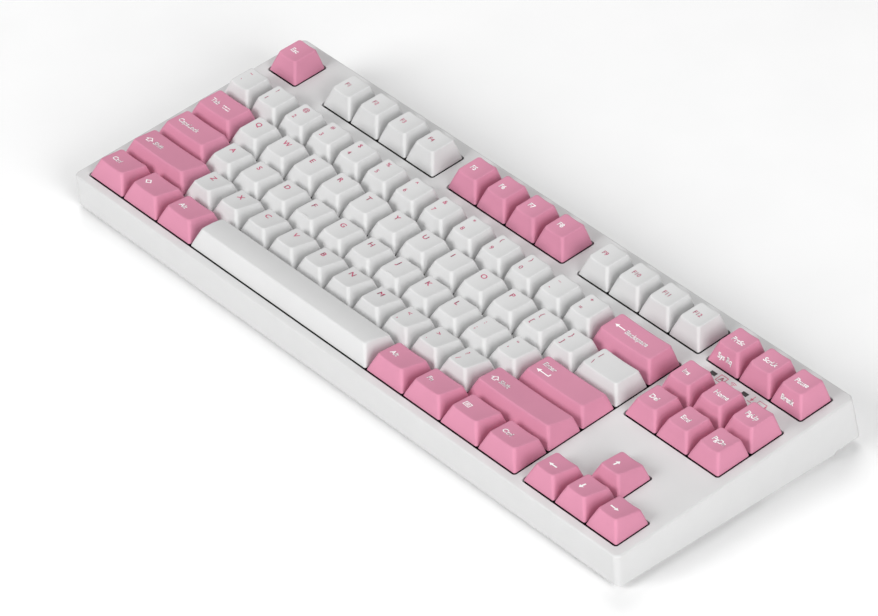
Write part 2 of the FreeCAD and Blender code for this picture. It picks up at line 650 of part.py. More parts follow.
def indicator_lenses():
    """Light pipes from the lamps to the deck, each with a shoulder under the deck."""
    lenses = []
    width, depth = LENS_SIZE
    wider, tall = LENS_COLLAR
    low = -DECK_THICKNESS - tall
    for x, y in LENSES:
        pipe = centred_box(x, y, width, depth, BOARD_TOP + LAMP_SIZE[2] + 0.2, -LOOSE_GAP)
        collar = centred_box(x, y, width + 2 * wider, depth + 2 * wider, low, low + tall - RUN_GAP)
        lenses.append(pipe.fuse(collar).removeSplitter())
    return lenses


# ---- case ---------------------------------------------------------------------------------------
def case_outline():
    """Side outline of the case in the row frame, (y, z) from the deck's front edge round."""
    front_top = row_point(-FRONT_RIM, 0)
    front_low = row_point(-FRONT_RIM, level_in_deck(-FRONT_RIM, FRONT_LEVEL))
    rear_top = row_point(CASE_REAR, 0)
    rear_low = row_point(CASE_REAR + REAR_LEAN, -REAR_LEAN_DROP)
    belly_end = [(BELLY_END + 1.2, REAR_LEVEL), (BELLY_END, FRONT_LEVEL)]
    return [front_top, rear_top, rear_low] + belly_end + [front_low]


def top_case():
    """Deck with its openings and the four outer walls, in the deck frame."""
    shell = profile_prism(case_outline(), -CASE_HALF, CASE_HALF)
    shell = shell.makeFillet(CORNER_RADIUS, [e for e in shell.Edges if is_case_corner(e)])
    shell = shell.makeFillet(EDGE_RADIUS, [e for e in shell.Edges if is_deck_rim(e)])
    shell.Placement = DECK_PLACEMENT.inverse()
    shell = shell.cut(case_room())
    for x, y in CASE_SCREWS:
        x, y = x * PITCH, y * PITCH
        foot = level_in_deck(y, underside_level(y)) + WELL_TOP + 0.2
        shell = shell.fuse(rod(x, y, foot, -DECK_THICKNESS + 0.5, BOSS_RADIUS))
        shell = shell.cut(rod(x, y, foot - 1, foot + PILOT_DEPTH + 1, SCREW_RADIUS + RUN_GAP))
    shell = shell.cut([opening_cutter(cell) for cell in CASE_OPENINGS]).cut(arrow_cutter())
    shell = shell.makeFillet(OPENING_EDGE, [e for e in shell.Edges if is_opening_rim(e)])
    width, depth = LENS_SIZE[0] + LOOSE_GAP, LENS_SIZE[1] + LOOSE_GAP
    windows = [centred_box(*at, width, depth, -DECK_THICKNESS - 1, 1) for at in LENSES]
    return shell.cut(windows).cut(port_cutter()).removeSplitter()


def case_room():
    """Hollow of the case under the deck, following the lean of its rear wall."""
    low = REAR_LEAN_DROP * 1.3
    front = -FRONT_RIM + WALL
    lean = REAR_LEAN / REAR_LEAN_DROP
    rear_high = CASE_REAR + lean * DECK_THICKNESS - WALL
    rear_low = CASE_REAR + lean * low - WALL
    room = [(front, -DECK_THICKNESS), (rear_high, -DECK_THICKNESS), (rear_low, -low), (front, -low)]
    return profile_prism(room, WALL - SIDE_RIM, GRID_WIDTH + SIDE_RIM - WALL)


def port_cutter():
    """Opening for the plug in the rear wall."""
    width, height = PORT_OPENING
    z = BOARD_TOP - BOARD_THICKNESS - PORT_SIZE[2] / 2
    port = box(PORT_X - width / 2, PORT_X + width / 2, PORT_FACE - 1.6, CASE_REAR + 9,
               z - height / 2, z + height / 2)
    return port.makeFillet(2.0, [e for e in port.Edges if along_deck(e)])


def is_case_corner(edge):
    """Upright edges where the front or rear face meets a side."""
    middle = edge.valueAt((edge.FirstParameter + edge.LastParameter) / 2)
    direction = edge.tangentAt(edge.FirstParameter)
    return abs(direction.z) > 0.9 and abs(middle.y) > 60


def is_deck_rim(edge):
    """Edges around the top surface."""
    middle = edge.valueAt((edge.FirstParameter + edge.LastParameter) / 2)
    deck = DECK_PLACEMENT.inverse().multVec(middle)
    return abs(deck.z) < 0.01


def is_opening_rim(edge):
    """Edges around the key openings on the top surface."""
    room = edge.BoundBox
    inside = -1 < room.XMin and room.XMax < GRID_WIDTH + 1 and -1 < room.YMin and room.YMax < GRID_DEPTH + 1
    return inside and abs(room.ZMin) < 0.01 and abs(room.ZMax) < 0.01


def opening_cutter(cell):
    """Round-cornered cutter around a group of keys."""
    x0, y0, x1, y1 = (v * PITCH for v in cell)
    margin = OPENING_MARGIN
    return rounded_slab(x0 - margin, x1 + margin, y0 - margin, y1 + margin, -10, 5, OPENING_RADIUS)


def arrow_cutter():
    """Upper part of the inverted T; the lower row's opening is cut with the others."""
    x0, y0, x1, y1 = (v * PITCH for v in UP_ARROW_OPENING)
    tall = box(x0 - OPENING_MARGIN, x1 + OPENING_MARGIN, y0 + 5, y1 + OPENING_MARGIN, -10, 5)
    upper = [e for e in tall.Edges if abs(e.tangentAt(e.FirstParameter).z) > 0.99
             and e.Vertexes[0].Point.y > y1]
    return tall.makeFillet(OPENING_RADIUS, upper)


def underside_level(y):
    """Height of the case's underside above the resting surface at deck y."""
    position = row_point(y, level_in_deck(y, BELLY_LEVEL))[0]
    if position < BELLY_START:
        return FRONT_LEVEL
    return BELLY_LEVEL if position < BELLY_END else REAR_LEVEL


def bottom_case():
    """Tray inside the case walls, its lowered belly, bosses, screw wells and foot pockets."""
    x1 = CASE_HALF - WALL - TRAY_GAP
    x0 = -x1
    front = row_point(-FRONT_RIM + WALL, level_in_deck(0, FRONT_LEVEL))[0] + TRAY_GAP + 0.35
    rear = row_point(CASE_REAR + REAR_LEAN * 0.6 - WALL, -REAR_LEAN_DROP * 0.7)[0] - TRAY_GAP
    under = [(front, FRONT_LEVEL), (BELLY_START, FRONT_LEVEL), (BELLY_START + BELLY_STEP, BELLY_LEVEL),
             (BELLY_END - 0.2, BELLY_LEVEL), (BELLY_END + 1.0, REAR_LEVEL), (rear, REAR_LEVEL)]
    inside = [(y, z + FLOOR_THICKNESS) for y, z in reversed(under)]
    floor = profile_prism(under + inside, x0, x1)
    thick, tall = TRAY_LIP
    lip = box(x0, x1, front, rear, FRONT_LEVEL + 0.5, FRONT_LEVEL + FLOOR_THICKNESS + tall)
    lip = lip.cut(box(x0 + thick, x1 - thick, front + thick, rear - thick, 0, 20))
    belly_x = CASE_HALF - 0.6
    belly = box(-belly_x, belly_x, BELLY_START + BELLY_STEP, BELLY_END - 0.2, BELLY_LEVEL, FRONT_LEVEL - 0.08)
    low_edges = [e for e in belly.Edges if e.BoundBox.ZMax < BELLY_LEVEL + 0.01 and along_deck(e)]
    tray = floor.fuse([lip, belly.makeChamfer(1.0, low_edges)])
    for side in (-1, 1):
        tray = tray.fuse(foot_pocket_block(side)).cut(foot_pocket_room(side))
    tray = tray.cut(label_recess()).removeSplitter()
    tray.Placement = DECK_PLACEMENT.inverse()
    return add_bosses(tray)


def add_bosses(tray):
    """Plate bosses and screw wells, which stand square to the deck."""
    plate_low = PLATE_TOP - PLATE_THICKNESS
    for x, y in PLATE_SCREWS:
        x, y = x * PITCH, y * PITCH
        base = level_in_deck(y, underside_level(y)) + 0.8
        tray = tray.fuse(rod(x, y, base, plate_low - 0.02, BOSS_RADIUS))
        tray = tray.cut(rod(x, y, plate_low - PILOT_DEPTH, plate_low + 1, SCREW_RADIUS + RUN_GAP))
    for x, y in CASE_SCREWS:
        x, y = x * PITCH, y * PITCH
        base = level_in_deck(y, underside_level(y))
        tray = tray.fuse(rod(x, y, base + 0.8, base + WELL_TOP, BOSS_RADIUS + WELL_WALL))
        tray = tray.cut(rod(x, y, base - 2, base + WELL_DEPTH, SCREW_HEAD_RADIUS + 0.3))
        tray = tray.cut(rod(x, y, base - 2, base + WELL_TOP + 1.5, SCREW_RADIUS + 0.2))
    return tray


def foot_span(side):
    """Row-frame x range of a foot."""
    outer = CASE_HALF - FOOT_EDGE - 1.6
    return (outer - FOOT_WIDTH, outer) if side > 0 else (-outer, -outer + FOOT_WIDTH)


def foot_pocket_block(side):
    """Solid that the pocket is cut from, standing on the floor."""
    x0, x1 = foot_span(side)
    y, _ = FOOT_AXIS
    if side > 0:
        x0 = x0 - FOOT_PIN[1] - 0.2
    else:
        x1 = x1 + FOOT_PIN[1] + 0.2
    block = box(x0, x1, y - FOOT_REACH - 2.5, y + FOOT_BARREL + 2.0, BELLY_LEVEL + 0.5, POCKET_CEILING + 1.6)
    limit = CASE_HALF - WALL - TRAY_GAP
    return block.common(box(-limit, limit, -200, 200, 0, 50))


def foot_pocket_room(side):
    """Room for the folded foot, with sockets for its hinge pins."""
    x0, x1 = foot_span(side)
    y, z = FOOT_AXIS
    room = box(x0 - 0.3, x1 + 0.3, y - FOOT_REACH - 1.0, y + FOOT_BARREL + 0.5, -5, POCKET_CEILING)
    radius, length = FOOT_PIN
    pins = Part.makeCylinder(radius + RUN_GAP, x1 - x0 + 2 * length + 0.4, Vector(x0 - length - 0.2, y, z),
                             Vector(1, 0, 0))
    return room.fuse(pins)


def label_recess():
    """Shallow field for a rating label under the belly."""
    x0, x1, y0, y1, depth = LABEL_RECESS
    return rounded_slab(x0, x1, y0, y1, -1, BELLY_LEVEL + depth, 2.0)


def foot(side):
    """Folded foot about its hinge: barrel, pins and a leaf that points forward."""
    x0, x1 = foot_span(side)
    y, z = FOOT_AXIS
    along = Vector(1, 0, 0)
    radius, length = FOOT_PIN
    barrel = Part.makeCylinder(FOOT_BARREL, x1 - x0, Vector(x0, y, z), along)
    pin = Part.makeCylinder(radius, x1 - x0 + 2 * length, Vector(x0 - length, y, z), along)
    end, under = y - FOOT_REACH + TIP_LENGTH, z - FOOT_THICKNESS / 2
    leaf = box(x0, x1, end, y, under, z + FOOT_THICKNESS / 2)
    grip = box(x0 + GRIP_INSET, x1 - GRIP_INSET, end - 1, y - 2 * FOOT_BARREL, z - 5, under + 0.8)
    return barrel.fuse([pin, leaf]).cut(grip).removeSplitter()


def foot_tip(side):
    """Rubber tip on the leaf's free end."""
    x0, x1 = foot_span(side)
    y, z = FOOT_AXIS
    end = y - FOOT_REACH
    tip = box(x0, x1, end, end + TIP_LENGTH - 0.03, z - FOOT_THICKNESS / 2, z + FOOT_THICKNESS / 2)
    nose = [e for e in tip.Edges if e.BoundBox.XLength > 1 and e.BoundBox.YMax < end + 0.1]
    return tip.makeFillet(0.8, nose)


def rubber_pads():
    """Two pads under the front and two under the belly, each set in a shallow seat."""
    pads = []
    for (middle, y0, y1), level in ((FRONT_PADS, FRONT_LEVEL), (REAR_PADS, BELLY_LEVEL)):
        for x in (-middle, middle):
            x0, x1 = x - PAD_HALF_LENGTH, x + PAD_HALF_LENGTH
            pads.append(rounded_slab(x0, x1, y0, y1, 0, level - 0.03, (y1 - y0) / 2 - 0.1))
    return pads


def battery_cells():
    """Two flat rechargeable cells, each with its folded seam, glued to the belly's floor."""
    width, depth, height = CELL_SIZE
    floor = BELLY_LEVEL + FLOOR_THICKNESS + 0.05
    cells = []
    for x, y in CELL_CENTRES:
        cell = box(x - width / 2, x + width / 2, y - depth / 2, y + depth / 2, floor, floor + height)
        cell = cell.makeFillet(1.2, [e for e in cell.Edges if along_deck(e)])
        seam = box(x - width / 2 + 2, x + width / 2 - 2, y - depth / 2 - CELL_SEAL, y - depth / 2 + 0.1,
                   floor + 1.0, floor + 3.2)
        cells.append(cell.fuse(seam).removeSplitter())
    return cells


# ---- screws -------------------------------------------------------------------------------------
def case_screws():
    """Screws from below that close the case, heads in their wells."""
    screws = []
    for x, y in CASE_SCREWS:
        x, y = x * PITCH, y * PITCH
        seat = level_in_deck(y, underside_level(y)) + WELL_DEPTH - 0.03
        head = rod(x, y, seat - SCREW_HEAD, seat, SCREW_HEAD_RADIUS)
        shank = rod(x, y, seat - 0.1, seat + 8.0, SCREW_RADIUS)
        drive = prism(octagon(x, y, 1.0, seat - SCREW_HEAD - 0.1), 1.0)
        screws.append(head.fuse(shank).cut(drive).removeSplitter())
    return screws


def plate_screws():
    """Screws that hold the plate on the bosses of the bottom case."""
    screws = []
    for x, y in PLATE_SCREWS:
        x, y = x * PITCH, y * PITCH
        seat = PLATE_TOP + 0.03
        head = rod(x, y, seat, seat + SCREW_HEAD, SCREW_HEAD_RADIUS - 0.3)
        shank = rod(x, y, seat - 7.0, seat + 0.1, SCREW_RADIUS)
        drive = prism(octagon(x, y, 0.9, seat + SCREW_HEAD - 0.9), 1.0)
        screws.append(head.fuse(shank).cut(drive).removeSplitter())
    return screws


def main():
    os.makedirs("parts", exist_ok=True)
    export("top_case", [top_case()])
    export("bottom_case", [bottom_case()])
    export("switch_plate", [switch_plate()])
    export("sound_pad", [sound_pad()])
    export("circuit_board", [circuit_board()])
    export("board_components", board_components())
    export("switch_lower_housings", every_switch([lower_housing()]))
    export("switch_upper_housings", every_switch([upper_housing()]))
    export("switch_springs", every_switch([switch_spring()]))
    export("switch_contacts", every_switch(switch_contacts()))
    export("stabilizer_housings", stabilizer_housings())
    for key in KEYS:
        reach = STABILIZED.get(key["node"])
        if reach:
            wire = moved(stabilizer_wire(reach), *key["at"])
            export(key["node"].replace("_key", "") + "_wire", [wire])
    for node, solids in key_nodes().items():
        export(node, solids)
    export("usb_socket", [usb_socket()])
    export("indicator_lenses", indicator_lenses())
    export("case_screws", case_screws())
    export("plate_screws", plate_screws())
    export("battery_cells", battery_cells(), on_deck=False)
    export("rubber_pads", rubber_pads(), on_deck=False)
    for name, side in (("left", -1), ("right", 1)):
        export(f"{name}_foot", [foot(side)], on_deck=False)
        export(f"{name}_foot_tip", [foot_tip(side)], on_deck=False)


main()
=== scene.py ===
"""Looks of a compact 87-key mechanical keyboard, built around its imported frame.

Shapes are drawn in millimetres in the deck frame: x from the left edge of the key grid, y from its
front edge and z from the top surface of the case.  DECK places them in the row frame, in metres.
"""
import json
import math

import bmesh
import bpy
from mathutils import Matrix, Vector


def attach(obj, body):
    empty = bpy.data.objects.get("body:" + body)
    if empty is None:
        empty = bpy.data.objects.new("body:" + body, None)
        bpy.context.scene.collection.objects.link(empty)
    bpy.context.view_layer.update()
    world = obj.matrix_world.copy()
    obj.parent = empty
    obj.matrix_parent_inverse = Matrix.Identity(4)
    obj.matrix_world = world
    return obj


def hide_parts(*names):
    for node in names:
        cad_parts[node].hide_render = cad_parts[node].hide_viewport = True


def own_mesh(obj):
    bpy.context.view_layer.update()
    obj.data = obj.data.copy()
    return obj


MM = 0.001

# ---- driving dimensions, as in the CAD part -------------------------------------------------------
PITCH = 19.05
GRID_WIDTH = 18.25 * PITCH
TYPING_ANGLE = math.radians(3.5)
DECK_ORIGIN = (-GRID_WIDTH / 2, -65.523, 19.24)

CAP_GAP = 0.95
CAP_BASE = 0.3
CAP_WALL = 1.4
CAP_SIDE_INSET = 3.15
CAP_CEILING = 4.75
CAP_PROFILES = {                 # height at mid depth, tilt in degrees, front inset, back inset
    "R1": (9.2, 1.5, 4.0, 1.0),
    "R2": (7.5, 4.0, 4.0, 0.9),
    "R3": (6.8, 7.0, 4.0, 0.9),
    "R4": (7.3, 12.5, 4.0, 0.8),
}
PLATE_TOP = -6.0
BOARD_TOP = -11.0
HOUSING_TOP = 0.6
STEM_TOP = 4.2
STABILIZER_REACH = 11.94         # of the shorter wide keys; the space bar's is 50 mm
STABILIZED = {"backspace_key": STABILIZER_REACH, "enter_key": STABILIZER_REACH,
              "left_shift_key": STABILIZER_REACH, "right_shift_key": STABILIZER_REACH, "space_bar": 50.0}

# ---- sliders and springs; a plan is (width, depth, corner cut) ----------------------------------------
STEM_CROSS = (2.0, 1.1, 1.2)     # reach and the thicknesses of the two blades
STEM_OVERLAP = 0.2               # how far the cross starts inside its slider
SHOULDER_PLAN = (7.0, 5.6, 0.4)
SHOULDER_LOW = HOUSING_TOP - 1.5
SLIDER_PLAN = (8.6, 7.6, 0.5)
SLIDER_LOW = PLATE_TOP + 2.6     # clears the housing's spring post at full travel
STABILIZER_PLAN = (3.6, 5.2, 0.3)
STABILIZER_LEG_PLAN = (3.6, 1.9, 0.3)
STABILIZER_LEG_TOP, STABILIZER_LEG_LOW = -1.6, -4.6
STABILIZER_LEG_FORWARD = 1.6     # the leg stands in front of the wire's hook
STABILIZER_INWARD = 0.2          # offset of the slider towards the key's middle
SPRING_FOOT = BOARD_TOP + 1.02
SPRING_LENGTH = PLATE_TOP + 5.05 - SPRING_FOOT
SPRING_TURNS, SPRING_STEPS, SPRING_SIDES = 8, 12, 6
SPRING_RADIUS, SPRING_WIRE = 1.9, 0.17
SPRING_CLOSING = 0.035           # how much closer the end turns lie, as a share of the length

# ---- softening that the CAD caps leave out ----------------------------------------------------------
DISH = 0.6                       # depth of the finger dish across a cap
CROWN = 0.5                      # rise of the space bar's convex top
BASE_CORNER = 0.9                # corner radii in plan, at the base and at the top
TOP_CORNER = 1.5
SKIRT_DROP = 0.4                 # caps are drawn this much lower than the solid model's
EDGE_SOFT = 0.55                 # rounding between walls and top
EDGE_CORNER = TOP_CORNER - 0.4   # corner radius where that rounding ends
TOP_RINGS = ((EDGE_SOFT + 0.5, 0.7), (EDGE_SOFT + 1.1, 0.0))   # insets and corner radii on the top
WALL_BULGE = 0.12
WALL_SHARES = (0.0, 0.06, 0.3, 0.55, 0.8, 1.0)
EDGE_SHARES = (0.2, 0.4, 0.6, 0.8, 1.0)
LIP_CORNER, CEILING_CORNER = 0.6, 0.8
CEILING_BELOW_TOP = 2.0          # measured TILT_REACH behind the middle of the tilted top
TILT_REACH = 6.0
BOSS_RADIUS, BOSS_SIDES, BOSS_LIFT = 2.8, 16, 0.15
# the homing bar's levels are (rise, half length, half width)
HOMING_LEVELS = ((0.0, 2.05, 0.42), (0.16, 2.0, 0.38), (0.27, 1.9, 0.26), (0.3, 1.75, 0.1))
HOMING_Y, HOMING_SINK, HOMING_CORNER = -4.1, 0.03, 0.3
HOMING_CELLS = (6, 2)
ARC_STEPS = 6                    # segments of a corner
CELLS = 10                       # mesh cells across one unit

# ---- legends: u from the key's left edge, v from its centre -----------------------------------------
LEGEND_LIFT = 0.03
FONT_CAP_HEIGHT = 0.73           # of Blender's own font at size 1
MITER_LIMIT = 0.3
WORD_SWELL, FRONT_WORD_SWELL, MARK_SWELL, LETTER_SWELL = 0.08, 0.11, 0.04, 0.07
WORD_SQUEEZE, FUNCTION_SQUEEZE = 0.92, 0.95
WORD_HEIGHT, FRONT_WORD_HEIGHT, LETTER_HEIGHT = 2.6, 2.5, 2.8
WORD_U, WORD_V, ENTER_WORD_V = 6.2, -0.1, 2.1
WORD_US = {"backspace_key": 13.5, "left_shift_key": 11.6, "right_shift_key": 11.3}
LETTER_U, LETTER_V = 6.15, 2.45
MARK_U, LOWER_MARK_V = 6.0, -2.65
NUMBER_MARK_HEIGHT, NUMBER_MARK_V = 2.3, 4.0
OTHER_MARK_HEIGHT, OTHER_MARK_V = 2.6, 2.75
FUNCTION_HEIGHT, FUNCTION_V = 2.3, 0.35
FRONT_WORDS = {"print_screen_key": "Sys Rq", "pause_key": "Break"}
FRONT_WORD_U, FRONT_WORD_UP = 5.6, 3.6
FRONT_MIDDLE_U = 9.5             # of a single key
FRONT_NORMAL = (0, -1, 0.4)      # of a front wall, roughly

# ---- icons printed on the deck ------------------------------------------------------------------------
ICON_LINE, ICON_FINE_LINE = 0.36, 0.3
CAPITAL_AT = (304.8, 100.55)
RADIO_AT = (310.6, 99.9)
SCROLL_AT = (323.2, 99.25)
BATTERY_AT = (326.3, 99.4)
WAVE_RADII = (0.9, 1.7, 2.5)

# ---- colours: plastics and inks as 0-255 display values, the others linear ----------------------------
CASE_COLOUR = (204, 204, 204)
WHITE_COLOUR = (210, 210, 210)
PINK_COLOUR = (206, 136, 161)
LEGEND_PINK = (196, 78, 115)
LEGEND_WHITE = (252, 250, 250)
FLOOR_LOW, FLOOR_HIGH = (0.95, 0.95, 0.95, 1), (0.97, 0.97, 0.97, 1)

WHITE, PINK = "cap_white", "cap_pink"

# each row: front edge in units, cap profile, then (node, finish, width in units, legends); a number
# alone is a gap
ROWS = (
    (5.5, "R1", (("escape_key", PINK, 1, ("Esc",)), 1,
                 ("outer_function_keys", WHITE, 1, ("F1", "F2", "F3", "F4")), 0.5,
                 ("inner_function_keys", PINK, 1, ("F5", "F6", "F7", "F8")), 0.5,
                 ("outer_function_keys", WHITE, 1, ("F9", "F10", "F11", "F12")), 0.25,
                 ("print_screen_key", PINK, 1, ("PrtSc",)), ("scroll_lock_key", PINK, 1, ("ScrLk",)),
                 ("pause_key", PINK, 1, ("Pause",)))),
    (4.0, "R1", (("number_row_keys", WHITE, 1, ("~\n`", "!\n1", "@\n2", "#\n3", "$\n4", "%\n5", "^\n6",
                                                "&\n7", "*\n8", "(\n9", ")\n0", "_\n-", "+\n=")),
                 ("backspace_key", PINK, 2, ("Backspace",)), 0.25,
                 ("insert_key", PINK, 1, ("Ins",)), ("home_key", PINK, 1, ("Home",)),
                 ("page_up_key", PINK, 1, ("PgUp",)))),
    (3.0, "R2", (("tab_key", PINK, 1.5, ("Tab",)),
                 ("q_row_keys", WHITE, 1, tuple("QWERTYUIOP") + ("{\n[", "}\n]")),
                 ("q_row_keys", WHITE, 1.5, ("|\n\\",)), 0.25,
                 ("delete_key", PINK, 1, ("Del",)), ("end_key", PINK, 1, ("End",)),
                 ("page_down_key", PINK, 1, ("PgDn",)))),
    (2.0, "R3", (("caps_lock_key", PINK, 1.75, ("CapsLock",)),
                 ("a_row_keys", WHITE, 1, tuple("ASDFGHJKL") + (":\n;", "\"\n'")),
                 ("enter_key", PINK, 2.25, ("Enter",)))),
    (1.0, "R4", (("left_shift_key", PINK, 2.25, ("Shift",)),
                 ("z_row_keys", WHITE, 1, tuple("ZXCVBNM") + ("<\n,", ">\n.", "?\n/")),
                 ("right_shift_key", PINK, 2.75, ("Shift",)), 1.25, ("up_arrow_key", PINK, 1, ("",)))),
    (0.0, "R4", (("left_ctrl_key", PINK, 1.25, ("Ctrl",)), ("left_system_key", PINK, 1.25, ("",)),
                 ("left_alt_key", PINK, 1.25, ("Alt",)), ("space_bar", WHITE, 6.25, ("",)),
                 ("right_alt_key", PINK, 1.25, ("Alt",)), ("fn_key", PINK, 1.25, ("Fn",)),
                 ("menu_key", PINK, 1.25, ("",)), ("right_ctrl_key", PINK, 1.25, ("Ctrl",)), 0.25,
                 ("left_arrow_key", PINK, 1, ("",)), ("down_arrow_key", PINK, 1, ("",)),
                 ("right_arrow_key", PINK, 1, ("",)))),
)

# ---- camera, in the row frame -----------------------------------------------------------------------
VIEW_TARGET = (2.543, -11.507, 15.0)
VIEW_AZIMUTH, VIEW_ELEVATION, VIEW_ROLL = 50.236, 38.242, -2.228
VIEW_DISTANCE = 2199.9
VIEW_LENS = 208.45

# ---- stage and lights, in metres ----------------------------------------------------------------------
FLOOR_RADIUS, FLOOR_SIDES = 6.0, 96
WORLD_STRENGTH = 0.12
LIGHT_DISTANCE, LIGHT_SIZE = 3.0, 1.9
LIGHTS = (                       # name, azimuth, elevation, watts
    ("right", 78, 24, 60),
    ("high right", 78, 50, 14),
    ("front", -14, 30, 62),
    ("rear", 230, 52, 31),
)


# ---- small helpers ----------------------------------------------------------------------------------
def deck_matrix():
    """Placement of the deck frame, in millimetres, in the row frame, in metres."""
    origin = Matrix.Translation(Vector(DECK_ORIGIN) * MM)
    return origin @ Matrix.Rotation(TYPING_ANGLE, 4, "X") @ Matrix.Scale(MM, 4)


DECK = deck_matrix()


def finish_mesh(name, bm, materials, sharp=math.radians(38)):
    """Object of a bmesh drawn in the deck frame, shaded smooth except at sharp edges."""
    bmesh.ops.remove_doubles(bm, verts=bm.verts, dist=1e-4)
    bmesh.ops.recalc_face_normals(bm, faces=[f for f in bm.faces if f.material_index != 1])
    bm.transform(DECK)
    for face in bm.faces:
        face.smooth = True
    for edge in bm.edges:
        edge.smooth = len(edge.link_faces) == 2 and edge.calc_face_angle(math.pi) < sharp
    mesh = bpy.data.meshes.new(name)
    bm.to_mesh(mesh)
    bm.free()
    for material in materials:
        mesh.materials.append(material)
    piece = bpy.data.objects.new(name, mesh)
    bpy.context.scene.collection.objects.link(piece)
    return piece


def ring_faces(bm, lower, upper, material=0):
    """Quads between two closed rings of vertices."""
    n = len(lower)
    for i in range(n):
        j = (i + 1) % n
        bm.faces.new((lower[i], lower[j], upper[j], upper[i])).material_index = material


def prism(bm, outline, z0, z1, material):
    """Closed prism of a plan outline."""
    low = [bm.verts.new((x, y, z0)) for x, y in outline]
    high = [bm.verts.new((x, y, z1)) for x, y in outline]
    ring_faces(bm, low, high, material)
    bm.faces.new(list(reversed(low))).material_index = material
    bm.faces.new(high).material_index = material


def regular(cx, cy, radius, sides):
    """Regular polygon as a plan outline."""
    turns = [2 * math.pi * (k + 0.5) / sides for k in range(sides)]
    return [(cx + radius * math.cos(t), cy + radius * math.sin(t)) for t in turns]


def chamfered(cx, cy, width, depth, cut):
    """Rectangle with its corners cut off, as a plan outline."""
    w, d = width / 2, depth / 2
    corners = ((w, -d + cut), (w, d - cut), (w - cut, d), (-w + cut, d),
               (-w, d - cut), (-w, -d + cut), (-w + cut, -d), (w - cut, -d))
    return [(cx + x, cy + y) for x, y in corners]


def cross_outline(cx, cy, reach, thick_x, thick_y):
    """Plan outline of a stem's cross."""
    a, b, c = reach, thick_x / 2, thick_y / 2
    points = ((a, -b), (a, b), (c, b), (c, a), (-c, a), (-c, b),
              (-a, b), (-a, -b), (-c, -b), (-c, -a), (c, -a), (c, -b))
    return [(cx + x, cy + y) for x, y in points]


def base_name(node):
    """Name of a key or bank without its ending."""
    return node.replace("_keys", "").replace("_key", "")


def outward(azimuth, elevation):
    """Unit vector from the origin towards an azimuth (0 in front, 90 at the right) and elevation."""
    a, e = math.radians(azimuth), math.radians(elevation)
    return Vector((math.sin(a) * math.cos(e), -math.cos(a) * math.cos(e), math.sin(e)))


# ---- keycaps ----------------------------------------------------------------------------------------
def plan_ring(half_x, half_y, radius, centre_y, nx, ny):
    """Rounded rectangle in plan as (x, y, outward x, outward y), from the front left, turning left.

    Each side has its cells plus one points and each corner ARC_STEPS segments, so that rings of
    different sizes join one to one.
    """
    points = []
    inner_x, inner_y = half_x - radius, half_y - radius
    sides = (((-1, -1), (1, -1), nx), ((1, -1), (1, 1), ny),
             ((1, 1), (-1, 1), nx), ((-1, 1), (-1, -1), ny))
    for k, (start, end, cells) in enumerate(sides):
        turn = math.radians(90 * k - 90)
        out = (math.cos(turn), math.sin(turn))
        for i in range(cells + 1):
            t = i / cells
            x = inner_x * (start[0] + (end[0] - start[0]) * t) + radius * out[0]
            y = inner_y * (start[1] + (end[1] - start[1]) * t) + radius * out[1]
            points.append((x, centre_y + y, *out))
        for i in range(1, ARC_STEPS):
            a = turn + math.radians(90 * i / ARC_STEPS)
            x = inner_x * end[0] + radius * math.cos(a)
            y = inner_y * end[1] + radius * math.sin(a)
            points.append((x, centre_y + y, math.cos(a), math.sin(a)))
    return points


